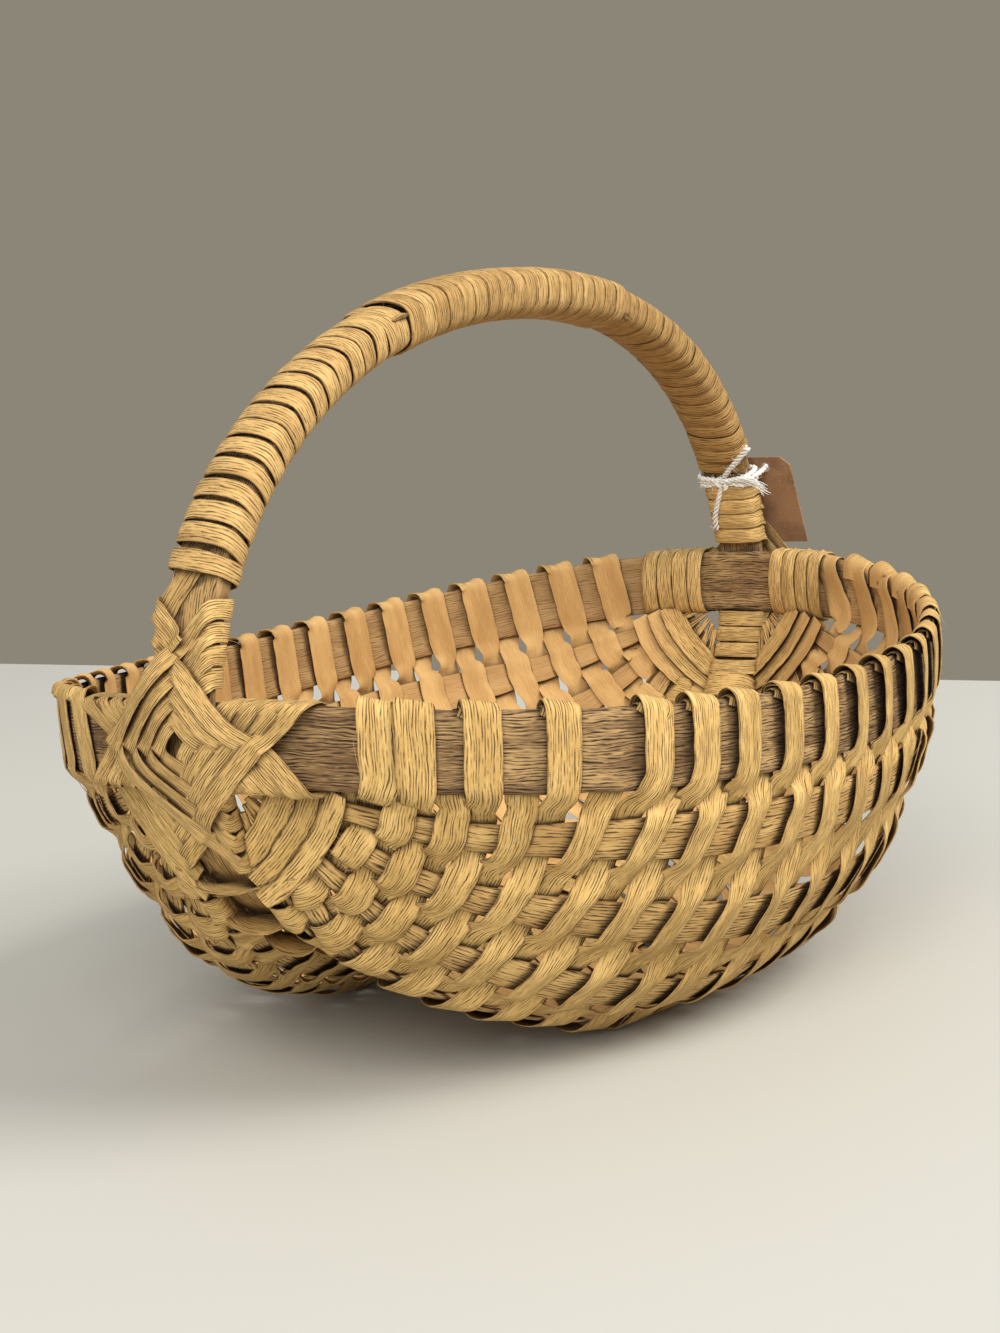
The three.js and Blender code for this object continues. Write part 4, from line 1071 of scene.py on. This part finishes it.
frayed_parts = []
frayed_fibres = 26
frayed_radii = (0.3, 0.1)  # mm, at a fibre's root and its tip
for _ in range(frayed_fibres):
    spread = rng.uniform(-1, 1)
    course = [(-2, -knot_off - 0.6, 0.8), (-8 + spread, -knot_off - 0.9, 2.0 + spread),
              (-14 + spread, -knot_off + rng.uniform(-1.5, 1.5), 0.6 + 2.2 * spread),
              (-18 + rng.uniform(-3, 2), -knot_off + rng.uniform(-2, 2), -3.5 + 3.2 * spread)]
    path = smooth_path([leg_point(*point) for point in course], step=1.5)
    frayed_parts.append(tube(path, np.linspace(*frayed_radii, len(path)), sides=4))
joined_piece("cotton_frayed_end", frayed_parts, twine_finish.material, [])


# Loose fibres: the weavers are split bark, so short ends as thin as thread come away from their edges
# and stand off beside them.
stray_count = 260
stray_start, stray_end = 4, 30  # mm, left free at the two ends of a strip
stray_lengths, stray_lifts, stray_spreads = (6, 20), (0.3, 2.2), (-0.5, 1.6)
stray_shares = (0.0, 0.35, 0.7, 1.0)  # of its length, at which its course is set
stray_root = 0.3  # mm, in from the strip's edge and off its middle
stray_radii = (0.16, 0.06)
stray_finish = Finish("stray_fibre", roughness=0.85)
stray_place = stray_finish.node("TexCoord", {}, {}, output="Object")
stray_tone = stray_finish.node("TexNoise", {}, {"Vector": stray_place, "Scale": 120.0, "Detail": 1.0})
stray_finish.paint(stray_finish.blend(stray_tone, (0.62, 0.42, 0.17, 1), (0.24, 0.13, 0.05, 1)))
rng = random.Random("stray fibres")
stray_parts = []
for _ in range(stray_count):
    weaver = rng.choice(weaver_runs)
    length = rng.uniform(stray_start, weaver.lengths[-1] - stray_end)
    side = rng.choice((-1, 1))
    reach = rng.uniform(*stray_lengths)
    lift = rng.uniform(*stray_lifts)
    spread = rng.uniform(*stray_spreads)
    way = rng.choice((-1, 1))
    course = []
    for share in stray_shares:
        row = weaver.at(length + way * reach * share)
        outward = row[OUT] * np.sign(row[OUT] @ away(row[MIDDLE]))
        point = row[MIDDLE] + row[ACROSS] * side * (row[LEFT] - stray_root + spread * share**2)
        course.append(point + outward * (stray_root + lift * share**2))
    path = smooth_path(course, step=2.0)
    stray_parts.append(tube(path, np.linspace(*stray_radii, len(path)), sides=4))
joined_piece("stray_fibres", stray_parts, stray_finish.material, [])


# The tag: a plain brown card with its upper corners cut off, that hangs on the twine by one hole beside
# the leg. It is blank.
tag_finish = Finish("tag_card", roughness=0.8)
tag_place = tag_finish.node("TexCoord", {}, {}, output="Object")
mottle = tag_finish.node("TexNoise", {}, {"Vector": tag_place, "Scale": 70.0, "Detail": 3.0})
flecks = tag_finish.node("TexNoise", {}, {"Vector": tag_place, "Scale": 900.0, "Detail": 3.0})
card = tag_finish.blend(tag_finish.ease(mottle, 0.35, 0.65), (0.20, 0.108, 0.055, 1), (0.30, 0.168, 0.088, 1))
card = tag_finish.blend(tag_finish.ease(flecks, 0.58, 0.72) * 0.5, card, (0.44, 0.28, 0.165, 1))
tag_finish.paint(card, roughness=0.88 - flecks * 0.2, height=flecks, depth=0.05)
nodes["tag"].data.materials.clear()
nodes["tag"].data.materials.append(tag_finish.material)


# Shade in the crossings: every strip is darker where other strips stand close over it, so the gaps of the
# weave read as deep as the real ones. Rays from each point of a strip measure how closed in it is.
shade_reach = 7 * mm
shade_start = 0.3 * mm  # off the strip's own face
widest_ray = 0.2  # the least cosine between a ray and the way that the face looks
far_loss = 0.5  # of a ray's shade, where what it meets is as far off as the rays reach
ways_out = unit(np.array([way for way in itertools.product((-1, 0, 1), repeat=3) if any(way)], float))
every_point, every_face = [], []
for mesh, facings in strip_faces:
    base = len(every_point)
    every_point += [tuple(vertex.co) for vertex in mesh.vertices]
    every_face += [[corner + base for corner in polygon.vertices] for polygon in mesh.polygons]
strips_tree = BVHTree.FromPolygons(every_point, every_face)
for mesh, facings in strip_faces:
    weights = np.clip(facings @ ways_out.T - widest_ray, 0, None)
    starts = np.array([vertex.co for vertex in mesh.vertices]) + facings * shade_start
    painted_shade_values = []
    for start, weight in zip(starts.tolist(), weights):
        closed = 0.0
        for i in np.flatnonzero(weight):
            distance = strips_tree.ray_cast(start, ways_out[i], shade_reach)[3]
            if distance is not None:
                closed += weight[i] * (1 - far_loss * distance / shade_reach)
        painted_shade_values.append(closed / weight.sum())
    attribute = mesh.attributes.new("painted_shade", "FLOAT", "POINT")
    attribute.data.foreach_set("value", np.array(painted_shade_values, np.float32))


# The room: a pale floor that ends in a straight line behind the basket, a plain grey-brown wall beyond
# it, one broad lamp from the upper right and another from behind the camera.
def floor_point(pixel):
    """Where the ray through a pixel of the photograph meets the floor."""
    x = (pixel[0] - middle_pixel[0]) / focal_pixels
    y = (middle_pixel[1] - pixel[1]) / focal_pixels
    ray = view_axes @ np.array([x, y, -1.0])
    return view_place + ray * (-view_place[2] / ray[2])


floor_level = -0.0006  # m, just under the lowest strips
floor_overhang, floor_depth = 4, 6  # m, past the photograph's edges and towards the camera
floor_edge_pixels = ((0, 663), (1000, 680))
left_end, right_end = map(floor_point, floor_edge_pixels)
edge_way = unit(right_end - left_end)
front_way = np.array([edge_way[1], -edge_way[0], 0.0])
if front_way @ (view_place - left_end) < 0:
    front_way = -front_way
far_left, far_right = left_end - edge_way * floor_overhang, right_end + edge_way * floor_overhang
floor_corners = [far_left, far_right, far_right + front_way * floor_depth, far_left + front_way * floor_depth]
floor_mesh = bpy.data.meshes.new("floor")
floor_mesh.from_pydata([(p[0], p[1], floor_level) for p in floor_corners], [], [(0, 1, 2, 3)])
floor = bpy.data.objects.new("floor", floor_mesh)
scene.collection.objects.link(floor)
floor_finish = Finish("floor", roughness=0.6)
floor_finish.feed(floor_finish.surface.inputs["Base Color"], (0.50, 0.492, 0.447, 1))
floor_mesh.materials.append(floor_finish.material)

world = bpy.data.worlds.new("room")
scene.world = world
world.use_nodes = True
world_tree = world.node_tree
soft_light = world_tree.nodes["Background"]
soft_light.inputs["Color"].default_value = (1.0, 0.99, 0.97, 1)
soft_light.inputs["Strength"].default_value = 0.5
wall = world_tree.nodes.new("ShaderNodeBackground")
wall.inputs["Color"].default_value = (0.262, 0.238, 0.188, 1)
wall.inputs["Strength"].default_value = 1.0
paths = world_tree.nodes.new("ShaderNodeLightPath")
choice = world_tree.nodes.new("ShaderNodeMixShader")
world_tree.links.new(paths.outputs["Is Camera Ray"], choice.inputs[0])
world_tree.links.new(soft_light.outputs[0], choice.inputs[1])
world_tree.links.new(wall.outputs[0], choice.inputs[2])
world_tree.links.new(choice.outputs[0], world_tree.nodes["World Output"].inputs["Surface"])

lamp_aim = np.array([0.0, 0.0, 0.1])
for label, place, size, power in (("key_lamp", (0.5, -3.0, 3.0), 2.2, 165.0),
                                  ("fill_lamp", (-3.0, -1.4, 2.4), 2.4, 140.0)):
    lamp_data = bpy.data.lights.new(label, "AREA")
    lamp_data.size = size
    lamp_data.energy = power
    lamp_data.color = (1.0, 0.985, 0.96)
    lamp = bpy.data.objects.new(label, lamp_data)
    back = unit(np.array(place) - lamp_aim)
    side_way = unit(np.cross((0, 0, 1), back))
    lamp_matrix = np.eye(4)
    lamp_matrix[:3, 0], lamp_matrix[:3, 1], lamp_matrix[:3, 2] = side_way, np.cross(back, side_way), back
    lamp_matrix[:3, 3] = place
    lamp.matrix_world = lamp_matrix.T.tolist()
    scene.collection.objects.link(lamp)

scene.view_settings.view_transform = "Standard"
